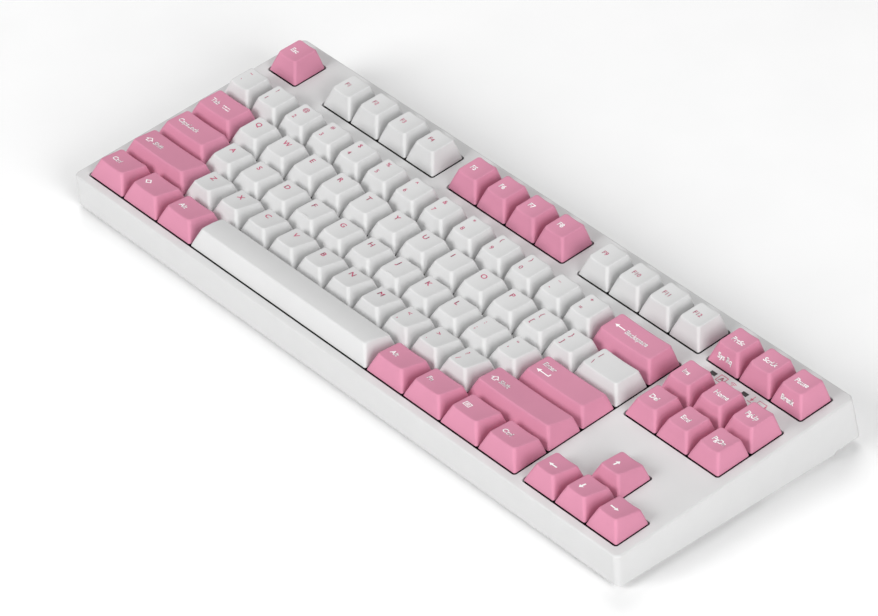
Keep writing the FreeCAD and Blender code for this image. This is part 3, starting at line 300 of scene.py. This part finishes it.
class Cap:
    """One keycap about its key's centre: where its surfaces are, and how to draw it."""

    def __init__(self, width, profile, convex=False):
        self.height, tilt, self.front_inset, self.back_inset = CAP_PROFILES[profile]
        self.rise = math.tan(math.radians(tilt))
        self.half_w = (width * PITCH - CAP_GAP) / 2
        self.half_d = (PITCH - CAP_GAP) / 2
        self.front = -self.half_d + self.front_inset
        self.back = self.half_d - self.back_inset
        self.middle = (self.front + self.back) / 2
        self.top_y = (self.back - self.front) / 2
        self.top_x = self.side(CAP_BASE + self.height)
        self.convex = convex
        self.cells = round(CELLS * width)
        drop = TILT_REACH * self.rise
        self.ceiling = max(CAP_CEILING, CAP_BASE + self.height - drop - CEILING_BELOW_TOP)

    def side(self, z):
        """Half width of the cap at height z."""
        return self.half_w - CAP_SIDE_INSET / self.height * (z - CAP_BASE)

    def plane(self, y):
        """Height of the tilted top before its dish or crown."""
        return CAP_BASE + self.height - self.rise * (y - self.middle)

    def surface(self, x, y):
        """Height of the top, with its dish or crown."""
        if self.convex:
            share = max(0.0, 1 - ((y - self.middle) / self.top_y) ** 2)
            return self.plane(y) + CROWN * share
        share = max(0.0, 1 - (x / self.top_x) ** 2)
        return self.plane(y) - DISH * share

    def on_front(self, x, up):
        """Point of the front wall `up` millimetres above the base along the wall."""
        crease = Vector((x, self.front, self.surface(x, self.front)))
        foot = Vector((x, -self.half_d, CAP_BASE))
        point = foot + (crease - foot).normalized() * up
        return point + Vector(FRONT_NORMAL).normalized() * (LEGEND_LIFT + WALL_BULGE)

    def top_ring(self, inset, radius):
        """Ring on the top, that far inside its outline."""
        ring = plan_ring(self.top_x - inset, self.top_y - inset, radius, self.middle, self.cells, CELLS)
        points = []
        for x, y, _, _ in ring:
            x *= self.side(self.plane(y)) / self.top_x
            points.append(Vector((x, y, self.surface(x, y))))
        return points

    def draw(self, bm, cx, cy, boss_offsets, homing=False):
        """Walls, rounded edge, dished top and hollow, about the key centre (cx, cy)."""
        def verts(points):
            return [bm.verts.new((p[0] + cx, p[1] + cy, p[2])) for p in points]

        flare = SKIRT_DROP / self.height
        base = plan_ring(self.half_w + CAP_SIDE_INSET * flare, self.half_d + self.back_inset * flare,
                         BASE_CORNER, 0.0, self.cells, CELLS)
        crease = self.top_ring(0.0, TOP_CORNER)
        soft = self.top_ring(EDGE_SOFT, EDGE_CORNER)
        wall_share = 1 - EDGE_SOFT / (self.height + SKIRT_DROP)
        rings = []
        for t in WALL_SHARES:
            share = t * wall_share
            bulge = WALL_BULGE * 4 * share * (1 - share)
            ring = []
            for (x, y, ox, oy), c in zip(base, crease):
                foot = Vector((x, y, CAP_BASE - SKIRT_DROP))
                ring.append(foot.lerp(c, share) + Vector((ox, oy, 0)) * bulge)
            rings.append(ring)
        wall_end = rings[-1]
        for t in EDGE_SHARES:
            rings.append([w.lerp(c, t).lerp(c.lerp(s, t), t) for w, c, s in zip(wall_end, crease, soft)])
        rings += [self.top_ring(inset, radius) for inset, radius in TOP_RINGS]
        made = [verts(ring) for ring in rings]
        for lower, upper in zip(made, made[1:]):
            ring_faces(bm, lower, upper)
        self.fill_top(bm, made[-1], cx, cy)
        self.draw_inside(bm, made[0], cx, cy, boss_offsets)
        if homing:
            self.draw_homing_bar(bm, cx, cy)

    def fill_top(self, bm, ring, cx, cy):
        """Grid inside the last ring, whose corner points coincide."""
        nx, ny = self.cells, CELLS
        right = nx + ARC_STEPS
        back = right + ny + ARC_STEPS
        left = back + nx + ARC_STEPS
        grid = {}
        for i in range(nx + 1):
            for j in range(ny + 1):
                if j == 0:
                    vert = ring[i]
                elif i == nx:
                    vert = ring[right + j]
                elif j == ny:
                    vert = ring[back + nx - i]
                elif i == 0:
                    vert = ring[left + ny - j]
                else:
                    front, rear = ring[i].co, ring[back + nx - i].co
                    x = front.x + (rear.x - front.x) * j / ny - cx
                    y = front.y + (rear.y - front.y) * j / ny - cy
                    vert = bm.verts.new((x + cx, y + cy, self.surface(x, y)))
                grid[i, j] = vert
        for i in range(nx):
            for j in range(ny):
                bm.faces.new((grid[i, j], grid[i + 1, j], grid[i + 1, j + 1], grid[i, j + 1]))

    def draw_inside(self, bm, rim, cx, cy, boss_offsets):
        """Hollow underneath with its ceiling, and the bosses that hold the stems."""
        lip = plan_ring(self.half_w - CAP_WALL, self.half_d - CAP_WALL, LIP_CORNER, 0.0,
                        self.cells, CELLS)
        share = (self.ceiling - CAP_BASE) / self.height
        y0 = -self.half_d + CAP_WALL + self.front_inset * share
        y1 = self.half_d - CAP_WALL - self.back_inset * share
        roof = plan_ring(self.side(self.ceiling) - CAP_WALL, (y1 - y0) / 2, CEILING_CORNER,
                         (y0 + y1) / 2, self.cells, CELLS)
        lip_verts = [bm.verts.new((p[0] + cx, p[1] + cy, CAP_BASE)) for p in lip]
        roof_verts = [bm.verts.new((p[0] + cx, p[1] + cy, self.ceiling)) for p in roof]
        ring_faces(bm, lip_verts, rim)
        ring_faces(bm, roof_verts, lip_verts)
        bm.faces.new(roof_verts)
        for offset in boss_offsets:
            boss = regular(cx + offset, cy, BOSS_RADIUS, BOSS_SIDES)
            prism(bm, boss, HOUSING_TOP + BOSS_LIFT, self.ceiling, 0)

    def draw_homing_bar(self, bm, cx, cy):
        """Low rounded bar that the index finger feels on F and J."""
        rings = []
        for rise, half_x, half_y in HOMING_LEVELS:
            # a little less than half the width, so that the ends keep a straight sliver
            corner = min(half_y, HOMING_CORNER) * 0.98
            ring = plan_ring(half_x, half_y, corner, HOMING_Y, *HOMING_CELLS)
            rings.append([bm.verts.new((x + cx, y + cy, self.surface(x, y) - HOMING_SINK + rise))
                          for x, y, _, _ in ring])
        for lower, upper in zip(rings, rings[1:]):
            ring_faces(bm, lower, upper)
        bm.faces.new(rings[-1])


# ---- legends ----------------------------------------------------------------------------------------
def text_shapes(text, height, squeeze):
    """Faces of a text as lists of (u, v), its first line's baseline and left edge at the origin."""
    curve = bpy.data.curves.new("glyphs", "FONT")
    curve.body = text
    curve.size = height / FONT_CAP_HEIGHT
    curve.resolution_u = 4
    holder = bpy.data.objects.new("glyphs", curve)
    bpy.context.scene.collection.objects.link(holder)
    evaluated = holder.evaluated_get(bpy.context.evaluated_depsgraph_get())
    mesh = bpy.data.meshes.new_from_object(evaluated)
    left = min(v.co.x for v in mesh.vertices)
    shapes = [[((mesh.vertices[i].co.x - left) * squeeze, mesh.vertices[i].co.y) for i in p.vertices]
              for p in mesh.polygons]
    bpy.data.objects.remove(holder)
    bpy.data.curves.remove(curve)
    bpy.data.meshes.remove(mesh)
    return shapes


def bold(shapes, swell):
    """The shapes drawn four times, moved outwards by `swell` along both diagonals."""
    moves = ((swell, swell), (swell, -swell), (-swell, swell), (-swell, -swell))
    return [[(u + du, v + dv) for u, v in shape] for du, dv in moves for shape in shapes]


def band(points, width, closed=True):
    """Quads of a line of that width along a path."""
    n = len(points)
    left, right = [], []
    for i, (x, y) in enumerate(points):
        before = points[i - 1] if closed or i else None
        after = points[(i + 1) % n] if closed or i < n - 1 else None
        a = Vector((x - before[0], y - before[1])).normalized() if before else None
        b = Vector((after[0] - x, after[1] - y)).normalized() if after else None
        a, b = a or b, b or a
        miter = Vector((-a.y - b.y, a.x + b.x)).normalized()
        reach = width / 2 / max(MITER_LIMIT, miter.dot(Vector((-a.y, a.x))))
        left.append((x + miter.x * reach, y + miter.y * reach))
        right.append((x - miter.x * reach, y - miter.y * reach))
    spans = n if closed else n - 1
    return [[right[i], right[(i + 1) % n], left[(i + 1) % n], left[i]] for i in range(spans)]


def rectangle(u0, u1, v0, v1):
    """Corners of a rectangle."""
    return [(u0, v0), (u1, v0), (u1, v1), (u0, v1)]


def arrow(length, head, head_width, shaft):
    """Filled arrow that points to -u, its tip at the origin."""
    h, s = head_width / 2, shaft / 2
    return [[(0, 0), (head, -h), (head, h)], [(head, -s), (length, -s), (length, s), (head, s)]]


def turned(shapes, degrees):
    """Shapes turned to the left about the origin."""
    c, s = math.cos(math.radians(degrees)), math.sin(math.radians(degrees))
    return [[(u * c - v * s, u * s + v * c) for u, v in shape] for shape in shapes]


def shifted(shapes, du, dv):
    """Shapes moved by (du, dv)."""
    return [[(u + du, v + dv) for u, v in shape] for shape in shapes]


def shift_arrow():
    """Outline of a broad arrow that points up."""
    height, width, line = 3.4, 3.9, 0.42
    w, h = width / 2 - line / 2, height - line
    shoulder, stem = h * 0.45, w * 0.48
    path = [(0, h), (-w, shoulder), (-stem, shoulder), (-stem, 0), (stem, 0), (stem, shoulder),
            (w, shoulder)]
    return shifted(band(path, line), width / 2, line / 2)


def tab_arrows():
    """Two arrows against a bar, one above the other."""
    upper = arrow(4.0, 1.3, 1.1, 0.36) + [rectangle(-0.45, -0.1, -0.6, 0.6)]
    return shifted(upper, 0.5, 2.0) + shifted(turned(upper, 180), 4.7, 0.55)


def return_arrow():
    """Arrow to the left with a riser at its end."""
    head = [(0, 0), (2.2, -1.15), (2.2, 1.15)]
    shaft = rectangle(2.2, 7.4, -0.3, 0.3)
    riser = rectangle(6.8, 7.4, 0.3, 1.7)
    return [head, shaft, riser]


def menu_sheet():
    """Sheet with three lines."""
    lines = [rectangle(0.85, 2.85, v - 0.16, v + 0.16) for v in (0.9, 1.45, 2.0)]
    return band(rectangle(0.2, 3.5, 0.2, 2.7), 0.36) + lines


def diamond():
    """Plain outline."""
    return band([(0, 1.4), (1.4, 0), (2.8, 1.4), (1.4, 2.8)], 0.5)


UPRIGHT_ARROW = arrow(3.9, 1.7, 2.4, 0.8)
LEVEL_ARROW = arrow(4.6, 1.8, 2.1, 0.8)
# shapes, then the place of their own origin as u and v
KEY_SYMBOLS = {
    "backspace_key": (arrow(6.0, 1.9, 2.1, 0.55), 6.6, 1.25),
    "tab_key": (tab_arrows(), 13.6, -0.35),
    "enter_key": (return_arrow(), 6.6, -1.6),
    "left_shift_key": (shift_arrow(), 6.5, -0.7),
    "right_shift_key": (shift_arrow(), 6.5, -0.7),
    "left_system_key": (diamond(), 6.0, -0.4),
    "menu_key": (menu_sheet(), 5.6, -0.5),
    "up_arrow_key": (turned(UPRIGHT_ARROW, -90), 7.8, 2.6),
    "down_arrow_key": (turned(UPRIGHT_ARROW, 90), 7.6, -1.4),
    "left_arrow_key": (LEVEL_ARROW, 6.4, 0.6),
    "right_arrow_key": (turned(LEVEL_ARROW, 180), 10.4, 0.6),
}


def legend_shapes(node, finish, legend):
    """Shapes of a key's legend as (u, v): u from the key's left edge, v from its centre."""
    shapes = []
    if finish == PINK:
        if legend:
            v = ENTER_WORD_V if node == "enter_key" else WORD_V
            word = bold(text_shapes(legend, WORD_HEIGHT, WORD_SQUEEZE), WORD_SWELL)
            shapes += shifted(word, WORD_US.get(node, WORD_U) + WORD_SWELL, v)
    elif "\n" in legend:
        height, upper_v = OTHER_MARK_HEIGHT, OTHER_MARK_V
        if node == "number_row_keys":
            height, upper_v = NUMBER_MARK_HEIGHT, NUMBER_MARK_V
        for mark, v in zip(legend.split("\n"), (upper_v, LOWER_MARK_V)):
            shapes += shifted(bold(text_shapes(mark, height, 1.0), MARK_SWELL), MARK_U, v)
    elif len(legend) > 1:
        word = text_shapes(legend, FUNCTION_HEIGHT, FUNCTION_SQUEEZE)
        shapes += shifted(bold(word, MARK_SWELL), MARK_U, FUNCTION_V)
    elif legend:
        letter = text_shapes(legend, LETTER_HEIGHT, 1.0)
        shapes += shifted(bold(letter, LETTER_SWELL), LETTER_U, LETTER_V)
    if node in KEY_SYMBOLS:
        symbol, u, v = KEY_SYMBOLS[node]
        shapes += shifted(symbol, u, v)
    return shapes


def draw_flat(bm, shapes, place, material):
    """Thin printed shapes laid on a surface; place turns (u, v) into a point."""
    for shape in shapes:
        verts = [bm.verts.new(place(u, v)) for u, v in shape]
        bm.faces.new(verts).material_index = material


# ---- keys -------------------------------------------------------------------------------------------
def draw_cross(bm, cx, cy, material):
    """Cross of a stem, which its cap's boss sits on."""
    prism(bm, cross_outline(cx, cy, *STEM_CROSS), HOUSING_TOP - STEM_OVERLAP, STEM_TOP, material)


def draw_switch_stem(bm, cx, cy, material):
    """Slider of a switch with its cross."""
    draw_cross(bm, cx, cy, material)
    prism(bm, chamfered(cx, cy, *SHOULDER_PLAN), SHOULDER_LOW, HOUSING_TOP, material)
    prism(bm, chamfered(cx, cy, *SLIDER_PLAN), SLIDER_LOW, SHOULDER_LOW, material)


def draw_stabilizer_stem(bm, cx, cy, side, material):
    """Slider of a stabilizer with its cross; side is -1 at the key's left end and 1 at its right."""
    draw_cross(bm, cx, cy, material)
    x = cx - STABILIZER_INWARD * side
    prism(bm, chamfered(x, cy, *STABILIZER_PLAN), STABILIZER_LEG_TOP, HOUSING_TOP, material)
    leg = chamfered(x, cy - STABILIZER_LEG_FORWARD, *STABILIZER_LEG_PLAN)
    prism(bm, leg, STABILIZER_LEG_LOW, STABILIZER_LEG_TOP, material)


def read_keys():
    """Every key as a dict, in the order of the rows."""
    keys = []
    for front, profile, entries in ROWS:
        x = 0.0
        for entry in entries:
            if not isinstance(entry, tuple):
                x += entry
                continue
            node, finish, width, legends = entry
            for legend in legends:
                keys.append({"node": node, "finish": finish, "width": width, "legend": legend,
                             "profile": profile, "left": x * PITCH,
                             "at": ((x + width / 2) * PITCH, (front + 0.5) * PITCH)})
                x += width
    return keys


def draw_key(bm, key):
    """Cap, stems and legends of one key; its materials are 0 the cap's, 1 the ink's, 2 the stems'."""
    node, (cx, cy), reach = key["node"], key["at"], STABILIZED.get(key["node"])
    cap = Cap(key["width"], key["profile"], convex=node == "space_bar")
    offsets = (0.0, -reach, reach) if reach else (0.0,)
    cap.draw(bm, cx, cy, offsets, homing=key["legend"] in ("F", "J"))
    draw_switch_stem(bm, cx, cy, 2)
    for side in ((-1, 1) if reach else ()):
        draw_stabilizer_stem(bm, cx + side * reach, cy, side, 2)

    def on_top(u, v):
        x = key["left"] + u - cx
        return (x + cx, v + cy, cap.surface(x, v) + LEGEND_LIFT)

    draw_flat(bm, legend_shapes(node, key["finish"], key["legend"]), on_top, 1)
    word = FRONT_WORDS.get(node)
    if word:
        def on_front(u, v):
            point = cap.on_front(u - FRONT_MIDDLE_U, v)
            return (point.x + cx, point.y + cy, point.z)

        shapes = bold(text_shapes(word, FRONT_WORD_HEIGHT, WORD_SQUEEZE), FRONT_WORD_SWELL)
        draw_flat(bm, shifted(shapes, FRONT_WORD_U, FRONT_WORD_UP), on_front, 1)


def key_pieces(materials):
    """One piece of caps and one of springs for every key node."""
    nodes = {}
    for key in read_keys():
        nodes.setdefault(key["node"], []).append(key)
    for node, keys in nodes.items():
        bm = bmesh.new()
        for key in keys:
            draw_key(bm, key)
        finish = keys[0]["finish"]
        ink = materials["legend_pink" if finish == WHITE else "legend_white"]
        name = base_name(node) + ("_caps" if len(keys) > 1 else "_cap")
        piece = finish_mesh(name, bm, [materials[finish], ink, materials["switch_stem"]])
        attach(piece, node)
        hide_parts(node)
        springs(node, keys, materials["spring_steel"])


def draw_coil(bm, cx, cy):
    """Closed tube of the spring wire along its helix, whose end turns lie closer together."""
    steps = SPRING_TURNS * SPRING_STEPS
    rise = SPRING_LENGTH - 2 * SPRING_WIRE
    rings = []
    for i in range(steps + 1):
        t = i / steps
        angle = 2 * math.pi * SPRING_TURNS * t
        level = SPRING_FOOT + SPRING_WIRE + rise * (t - SPRING_CLOSING * math.sin(2 * math.pi * t))
        radial = Vector((math.cos(angle), math.sin(angle), 0))
        centre = Vector((cx, cy, level)) + radial * SPRING_RADIUS
        ring = []
        for k in range(SPRING_SIDES):
            a = 2 * math.pi * k / SPRING_SIDES
            offset = radial * (SPRING_WIRE * math.cos(a)) + Vector((0, 0, SPRING_WIRE * math.sin(a)))
            ring.append(bm.verts.new(centre + offset))
        rings.append(ring)
    for lower, upper in zip(rings, rings[1:]):
        ring_faces(bm, lower, upper)
    bm.faces.new(rings[0])
    bm.faces.new(list(reversed(rings[-1])))


def springs(node, keys, material):
    """Return springs of one node's switches."""
    bm = bmesh.new()
    for key in keys:
        draw_coil(bm, *key["at"])
    piece = finish_mesh(base_name(node) + "_springs", bm, [material], sharp=math.radians(70))
    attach(piece, "keyboard_case")
    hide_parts("switch_springs")
    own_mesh(piece)


# ---- printed icons on the deck ------------------------------------------------------------------------
def capital_icon():
    """Letter A in a square."""
    letter = shifted(bold(text_shapes("A", 2.6, 1.0), MARK_SWELL), -1.15, -1.3)
    return band(rectangle(-2.0, 2.0, -2.0, 2.0), ICON_LINE) + letter


def radio_icon():
    """Three arcs over a dot."""
    waves = []
    for radius in WAVE_RADII:
        arc = [(radius * math.cos(math.radians(a)), radius * math.sin(math.radians(a)))
               for a in range(50, 131, 10)]
        waves += band(arc, ICON_FINE_LINE, closed=False)
    return waves + [rectangle(-0.25, 0.25, -0.1, 0.35)]


def scroll_icon():
    """Arrow down to a bar."""
    down = turned(arrow(3.5, 1.6, 1.9, ICON_LINE), 90)
    return down + [rectangle(-1.2, 1.2, -0.75, -0.4)]


def battery_icon():
    """Outline of a cell with its pole."""
    return band(rectangle(0, 4.4, 0, 2.6), ICON_FINE_LINE) + [rectangle(4.55, 5.1, 0.8, 1.8)]


def lock_icons(materials):
    """Pictures beside the indicator windows: capital, radio, scroll and battery."""
    bm = bmesh.new()

    def place_at(cx, cy):
        return lambda u, v: (cx + u, cy + v, LEGEND_LIFT)

    for shapes, at in ((capital_icon(), CAPITAL_AT), (radio_icon(), RADIO_AT),
                       (scroll_icon(), SCROLL_AT), (battery_icon(), BATTERY_AT)):
        draw_flat(bm, shapes, place_at(*at), 1)
    piece = finish_mesh("lock_icons", bm, [materials["legend_pink"], materials["legend_pink"]])
    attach(piece, "keyboard_case")


# ---- materials --------------------------------------------------------------------------------------
def srgb(display):
    """Linear colour of 0-255 display values."""
    def linear(c):
        c /= 255
        return c / 12.92 if c <= 0.04045 else ((c + 0.055) / 1.055) ** 2.4
    return (*(linear(c) for c in display), 1.0)


class Graph:
    """Small builder for a node material on object coordinates."""

    def __init__(self, name):
        self.material = bpy.data.materials.new(name)
        self.material.use_nodes = True
        self.nodes = self.material.node_tree.nodes
        self.links = self.material.node_tree.links
        self.shader = self.nodes["Principled BSDF"]
        self.place = self.nodes.new("ShaderNodeTexCoord").outputs["Object"]

    def noise(self, size_mm, detail=2.0, roughness=0.5):
        """Cloudy value with features of about that size."""
        node = self.nodes.new("ShaderNodeTexNoise")
        node.inputs["Scale"].default_value = 1 / (size_mm * MM)
        node.inputs["Detail"].default_value = detail
        node.inputs["Roughness"].default_value = roughness
        self.links.new(self.place, node.inputs["Vector"])
        return node.outputs["Fac"]

    def cells(self, size_mm):
        """Distance to the nearest of scattered points."""
        node = self.nodes.new("ShaderNodeTexVoronoi")
        node.inputs["Scale"].default_value = 1 / (size_mm * MM)
        self.links.new(self.place, node.inputs["Vector"])
        return node.outputs["Distance"]

    def span(self, value, low, high, start=0.3, end=0.7):
        """The value's stretch from start to end as low to high."""
        node = self.nodes.new("ShaderNodeMapRange")
        node.inputs["From Min"].default_value = start
        node.inputs["From Max"].default_value = end
        node.inputs["To Min"].default_value = low
        node.inputs["To Max"].default_value = high
        self.links.new(value, node.inputs["Value"])
        return node.outputs["Result"]

    def colours(self, value, first, second, start=0.3, end=0.7):
        """Colour between the first, at start, and the second, at end."""
        node = self.nodes.new("ShaderNodeValToRGB")
        node.color_ramp.elements[0].position = start
        node.color_ramp.elements[0].color = first
        node.color_ramp.elements[1].position = end
        node.color_ramp.elements[1].color = second
        self.links.new(value, node.inputs["Fac"])
        return node.outputs["Color"]

    def bump(self, value, height_mm, strength, under=None):
        """Normal of a relief, on top of the one under it."""
        node = self.nodes.new("ShaderNodeBump")
        node.inputs["Strength"].default_value = strength
        node.inputs["Distance"].default_value = height_mm * MM
        self.links.new(value, node.inputs["Height"])
        if under:
            self.links.new(under, node.inputs["Normal"])
        return node.outputs["Normal"]

    def set(self, **sockets):
        """Sets or links the shader's sockets and returns the material."""
        for name, value in sockets.items():
            socket = self.shader.inputs[name.replace("_", " ")]
            if isinstance(value, bpy.types.NodeSocket):
                self.links.new(value, socket)
            else:
                socket.default_value = value
        return self.material


def shade(colour, factor):
    """Opaque colour, lighter or darker by a factor."""
    return (colour[0] * factor, colour[1] * factor, colour[2] * factor, 1.0)


def moulded(name, colour, rough, grain_mm, grain_height, mottle=0.02, gloss=0.5):
    """Moulded plastic: spark-eroded grain over a slight unevenness of colour and gloss."""
    g = Graph(name)
    broad = g.noise(14.0, 3.0)
    fine = g.noise(grain_mm, 3.0, 0.6)
    base = g.colours(broad, shade(colour, 1 - mottle), shade(colour, 1 + mottle))
    normal = g.bump(fine, grain_height, 0.7)
    normal = g.bump(g.noise(6.0, 1.0), 0.01, 0.5, normal)
    return g.set(Base_Color=base, Roughness=g.span(fine, rough - 0.06, rough + 0.06), Normal=normal,
                 Specular_IOR_Level=gloss)


def printed(name, colour, rough):
    """Ink with fine specks."""
    g = Graph(name)
    speck = g.noise(0.12, 2.0)
    base = g.colours(speck, shade(colour, 0.95), shade(colour, 1.03))
    return g.set(Base_Color=base, Roughness=g.span(speck, rough - 0.05, rough + 0.05),
                 Normal=g.bump(speck, 0.008, 0.5))


def metal(name, colour, rough, size_mm):
    """Bare metal with a slight grain."""
    g = Graph(name)
    grain = g.noise(size_mm, 4.0, 0.6)
    base = g.colours(grain, shade(colour, 0.85), shade(colour, 1.05))
    return g.set(Base_Color=base, Metallic=1.0, Roughness=g.span(grain, rough - 0.08, rough + 0.1),
                 Normal=g.bump(grain, 0.01, 0.4))


def painted(name, colour, rough, size_mm, height_mm):
    """Powder coat with its orange peel."""
    g = Graph(name)
    peel = g.cells(size_mm)
    fine = g.noise(size_mm * 0.3, 2.0)
    base = g.colours(fine, shade(colour, 0.9), shade(colour, 1.1))
    return g.set(Base_Color=base, Roughness=g.span(fine, rough - 0.05, rough + 0.08),
                 Normal=g.bump(peel, height_mm, 0.6))


def foam():
    """Closed-cell foam with its pores."""
    g = Graph("foam")
    pores = g.cells(0.9)
    base = g.colours(pores, (0.012, 0.012, 0.013, 1), (0.05, 0.05, 0.053, 1), 0.1, 0.6)
    return g.set(Base_Color=base, Roughness=g.span(pores, 0.85, 1.0), Normal=g.bump(pores, 0.25, 0.9))


def solder_mask():
    """Green board with a pattern of tracks."""
    g = Graph("board")
    tracks = g.nodes.new("ShaderNodeTexBrick")
    tracks.inputs["Scale"].default_value = 1 / (3.0 * MM)
    tracks.inputs["Mortar Size"].default_value = 0.05
    tracks.inputs["Color1"].default_value = (0.004, 0.05, 0.022, 1)
    tracks.inputs["Color2"].default_value = (0.005, 0.06, 0.026, 1)
    tracks.inputs["Mortar"].default_value = (0.02, 0.13, 0.06, 1)
    g.links.new(g.place, tracks.inputs["Vector"])
    return g.set(Base_Color=tracks.outputs["Color"], Roughness=g.span(g.noise(2.0), 0.25, 0.4),
                 Normal=g.bump(tracks.outputs["Fac"], 0.03, 0.5))


def rubber():
    """Dull rubber with a coarse grain."""
    g = Graph("rubber")
    grain = g.noise(0.35, 4.0, 0.7)
    base = g.colours(grain, (0.012, 0.012, 0.012, 1), (0.03, 0.03, 0.031, 1))
    return g.set(Base_Color=base, Roughness=g.span(grain, 0.75, 0.95), Normal=g.bump(grain, 0.05, 0.8))


def smoked_lens():
    """Dark window that shows little of the light pipe behind it."""
    g = Graph("lens")
    haze = g.noise(0.8, 2.0)
    base = g.colours(haze, (0.008, 0.005, 0.005, 1), (0.018, 0.012, 0.012, 1))
    return g.set(Base_Color=base, Roughness=g.span(haze, 0.3, 0.45), Normal=g.bump(haze, 0.01, 0.3),
                 Specular_IOR_Level=0.2)


def make_materials():
    """Every material by its slot, and the two inks and the stems' plastic."""
    return {
        "case_plastic": moulded("case_plastic", srgb(CASE_COLOUR), 0.52, 0.45, 0.03, 0.012),
        WHITE: moulded("cap_white", srgb(WHITE_COLOUR), 0.58, 0.3, 0.035, 0.012, 0.3),
        PINK: moulded("cap_pink", srgb(PINK_COLOUR), 0.58, 0.3, 0.035, 0.02, 0.25),
        "legend_pink": printed("legend_pink", srgb(LEGEND_PINK), 0.5),
        "legend_white": printed("legend_white", srgb(LEGEND_WHITE), 0.5),
        "switch_stem": moulded("switch_stem", (0.025, 0.10, 0.35, 1), 0.4, 0.3, 0.01),
        "switch_plastic": moulded("switch_plastic", (0.012, 0.012, 0.013, 1), 0.42, 0.5, 0.02, 0.05),
        "plate_steel": painted("plate_steel", (0.011, 0.011, 0.012, 1), 0.55, 0.8, 0.03),
        "foam": foam(),
        "board": solder_mask(),
        "components": moulded("components", (0.02, 0.02, 0.022, 1), 0.5, 0.2, 0.02, 0.08),
        "spring_steel": metal("spring_steel", (0.62, 0.6, 0.56, 1), 0.28, 0.4),
        "contact_metal": metal("contact_metal", (0.75, 0.42, 0.2, 1), 0.3, 0.3),
        "connector_steel": metal("connector_steel", (0.6, 0.6, 0.6, 1), 0.3, 1.5),
        "screw_steel": metal("screw_steel", (0.18, 0.18, 0.19, 1), 0.4, 0.5),
        "lens": smoked_lens(),
        "rubber": rubber(),
        "battery_wrap": moulded("battery_wrap", (0.012, 0.03, 0.12, 1), 0.28, 2.5, 0.05, 0.08),
    }


def dress_frame(frame, materials):
    """Gives each carried-over CAD node the material of its slot."""
    for part in frame["record"]["subparts"]:
        node = frame["nodes"][part["node"]]
        if not node.material_slots:
            node.data.materials.append(None)
        for material_slot in node.material_slots:
            material_slot.material = materials[part["material_slot"]]


# ---- stage ------------------------------------------------------------------------------------------
def add_stage():
    """Plain pale floor."""
    bm = bmesh.new()
    bmesh.ops.create_circle(bm, cap_ends=True, segments=FLOOR_SIDES, radius=FLOOR_RADIUS)
    mesh = bpy.data.meshes.new("floor")
    bm.to_mesh(mesh)
    bm.free()
    floor = bpy.data.objects.new("floor", mesh)
    bpy.context.scene.collection.objects.link(floor)
    g = Graph("floor")
    haze = g.noise(40.0, 2.0)
    mesh.materials.append(g.set(Base_Color=g.colours(haze, FLOOR_LOW, FLOOR_HIGH), Roughness=0.9))


def area_light(name, azimuth, elevation, power):
    """Soft light aimed at the origin."""
    data = bpy.data.lights.new(name, "AREA")
    data.shape = "DISK"
    data.size = LIGHT_SIZE
    data.energy = power
    light = bpy.data.objects.new(name, data)
    back = outward(azimuth, elevation)
    light.location = back * LIGHT_DISTANCE
    light.rotation_mode = "QUATERNION"
    light.rotation_quaternion = (-back).to_track_quat("-Z", "Y")
    bpy.context.scene.collection.objects.link(light)


def add_lights():
    """Soft studio light from the sides and a weak even world."""
    world = bpy.data.worlds.new("studio")
    world.use_nodes = True
    background = world.node_tree.nodes["Background"]
    background.inputs["Color"].default_value = (1.0, 1.0, 1.0, 1.0)
    background.inputs["Strength"].default_value = WORLD_STRENGTH
    bpy.context.scene.world = world
    for light in LIGHTS:
        area_light(*light)


def add_camera():
    """Camera at the photograph's angle."""
    data = bpy.data.cameras.new("camera")
    data.sensor_width = 36.0
    data.lens = VIEW_LENS
    data.clip_start, data.clip_end = 0.05, 50.0
    camera = bpy.data.objects.new("camera", data)
    back = outward(VIEW_AZIMUTH, VIEW_ELEVATION)
    camera.location = (Vector(VIEW_TARGET) + back * VIEW_DISTANCE) * MM
    camera.rotation_mode = "QUATERNION"
    level = (-back).to_track_quat("-Z", "Y")
    camera.rotation_quaternion = level @ Matrix.Rotation(math.radians(VIEW_ROLL), 3, "Z").to_quaternion()
    bpy.context.scene.collection.objects.link(camera)
    bpy.context.scene.camera = camera


# ---- scene ------------------------------------------------------------------------------------------
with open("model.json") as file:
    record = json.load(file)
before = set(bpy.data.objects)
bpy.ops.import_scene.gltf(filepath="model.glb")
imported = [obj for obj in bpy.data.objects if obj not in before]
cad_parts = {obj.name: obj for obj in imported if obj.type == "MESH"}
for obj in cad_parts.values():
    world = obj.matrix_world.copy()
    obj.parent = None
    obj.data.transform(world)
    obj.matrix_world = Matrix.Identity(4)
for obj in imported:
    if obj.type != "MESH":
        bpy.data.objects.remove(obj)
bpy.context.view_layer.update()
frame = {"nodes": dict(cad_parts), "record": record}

bpy.context.scene.view_settings.view_transform = "Standard"
add_camera()
add_lights()
add_stage()
finishes = make_materials()
dress_frame(frame, finishes)
key_pieces(finishes)
lock_icons(finishes)
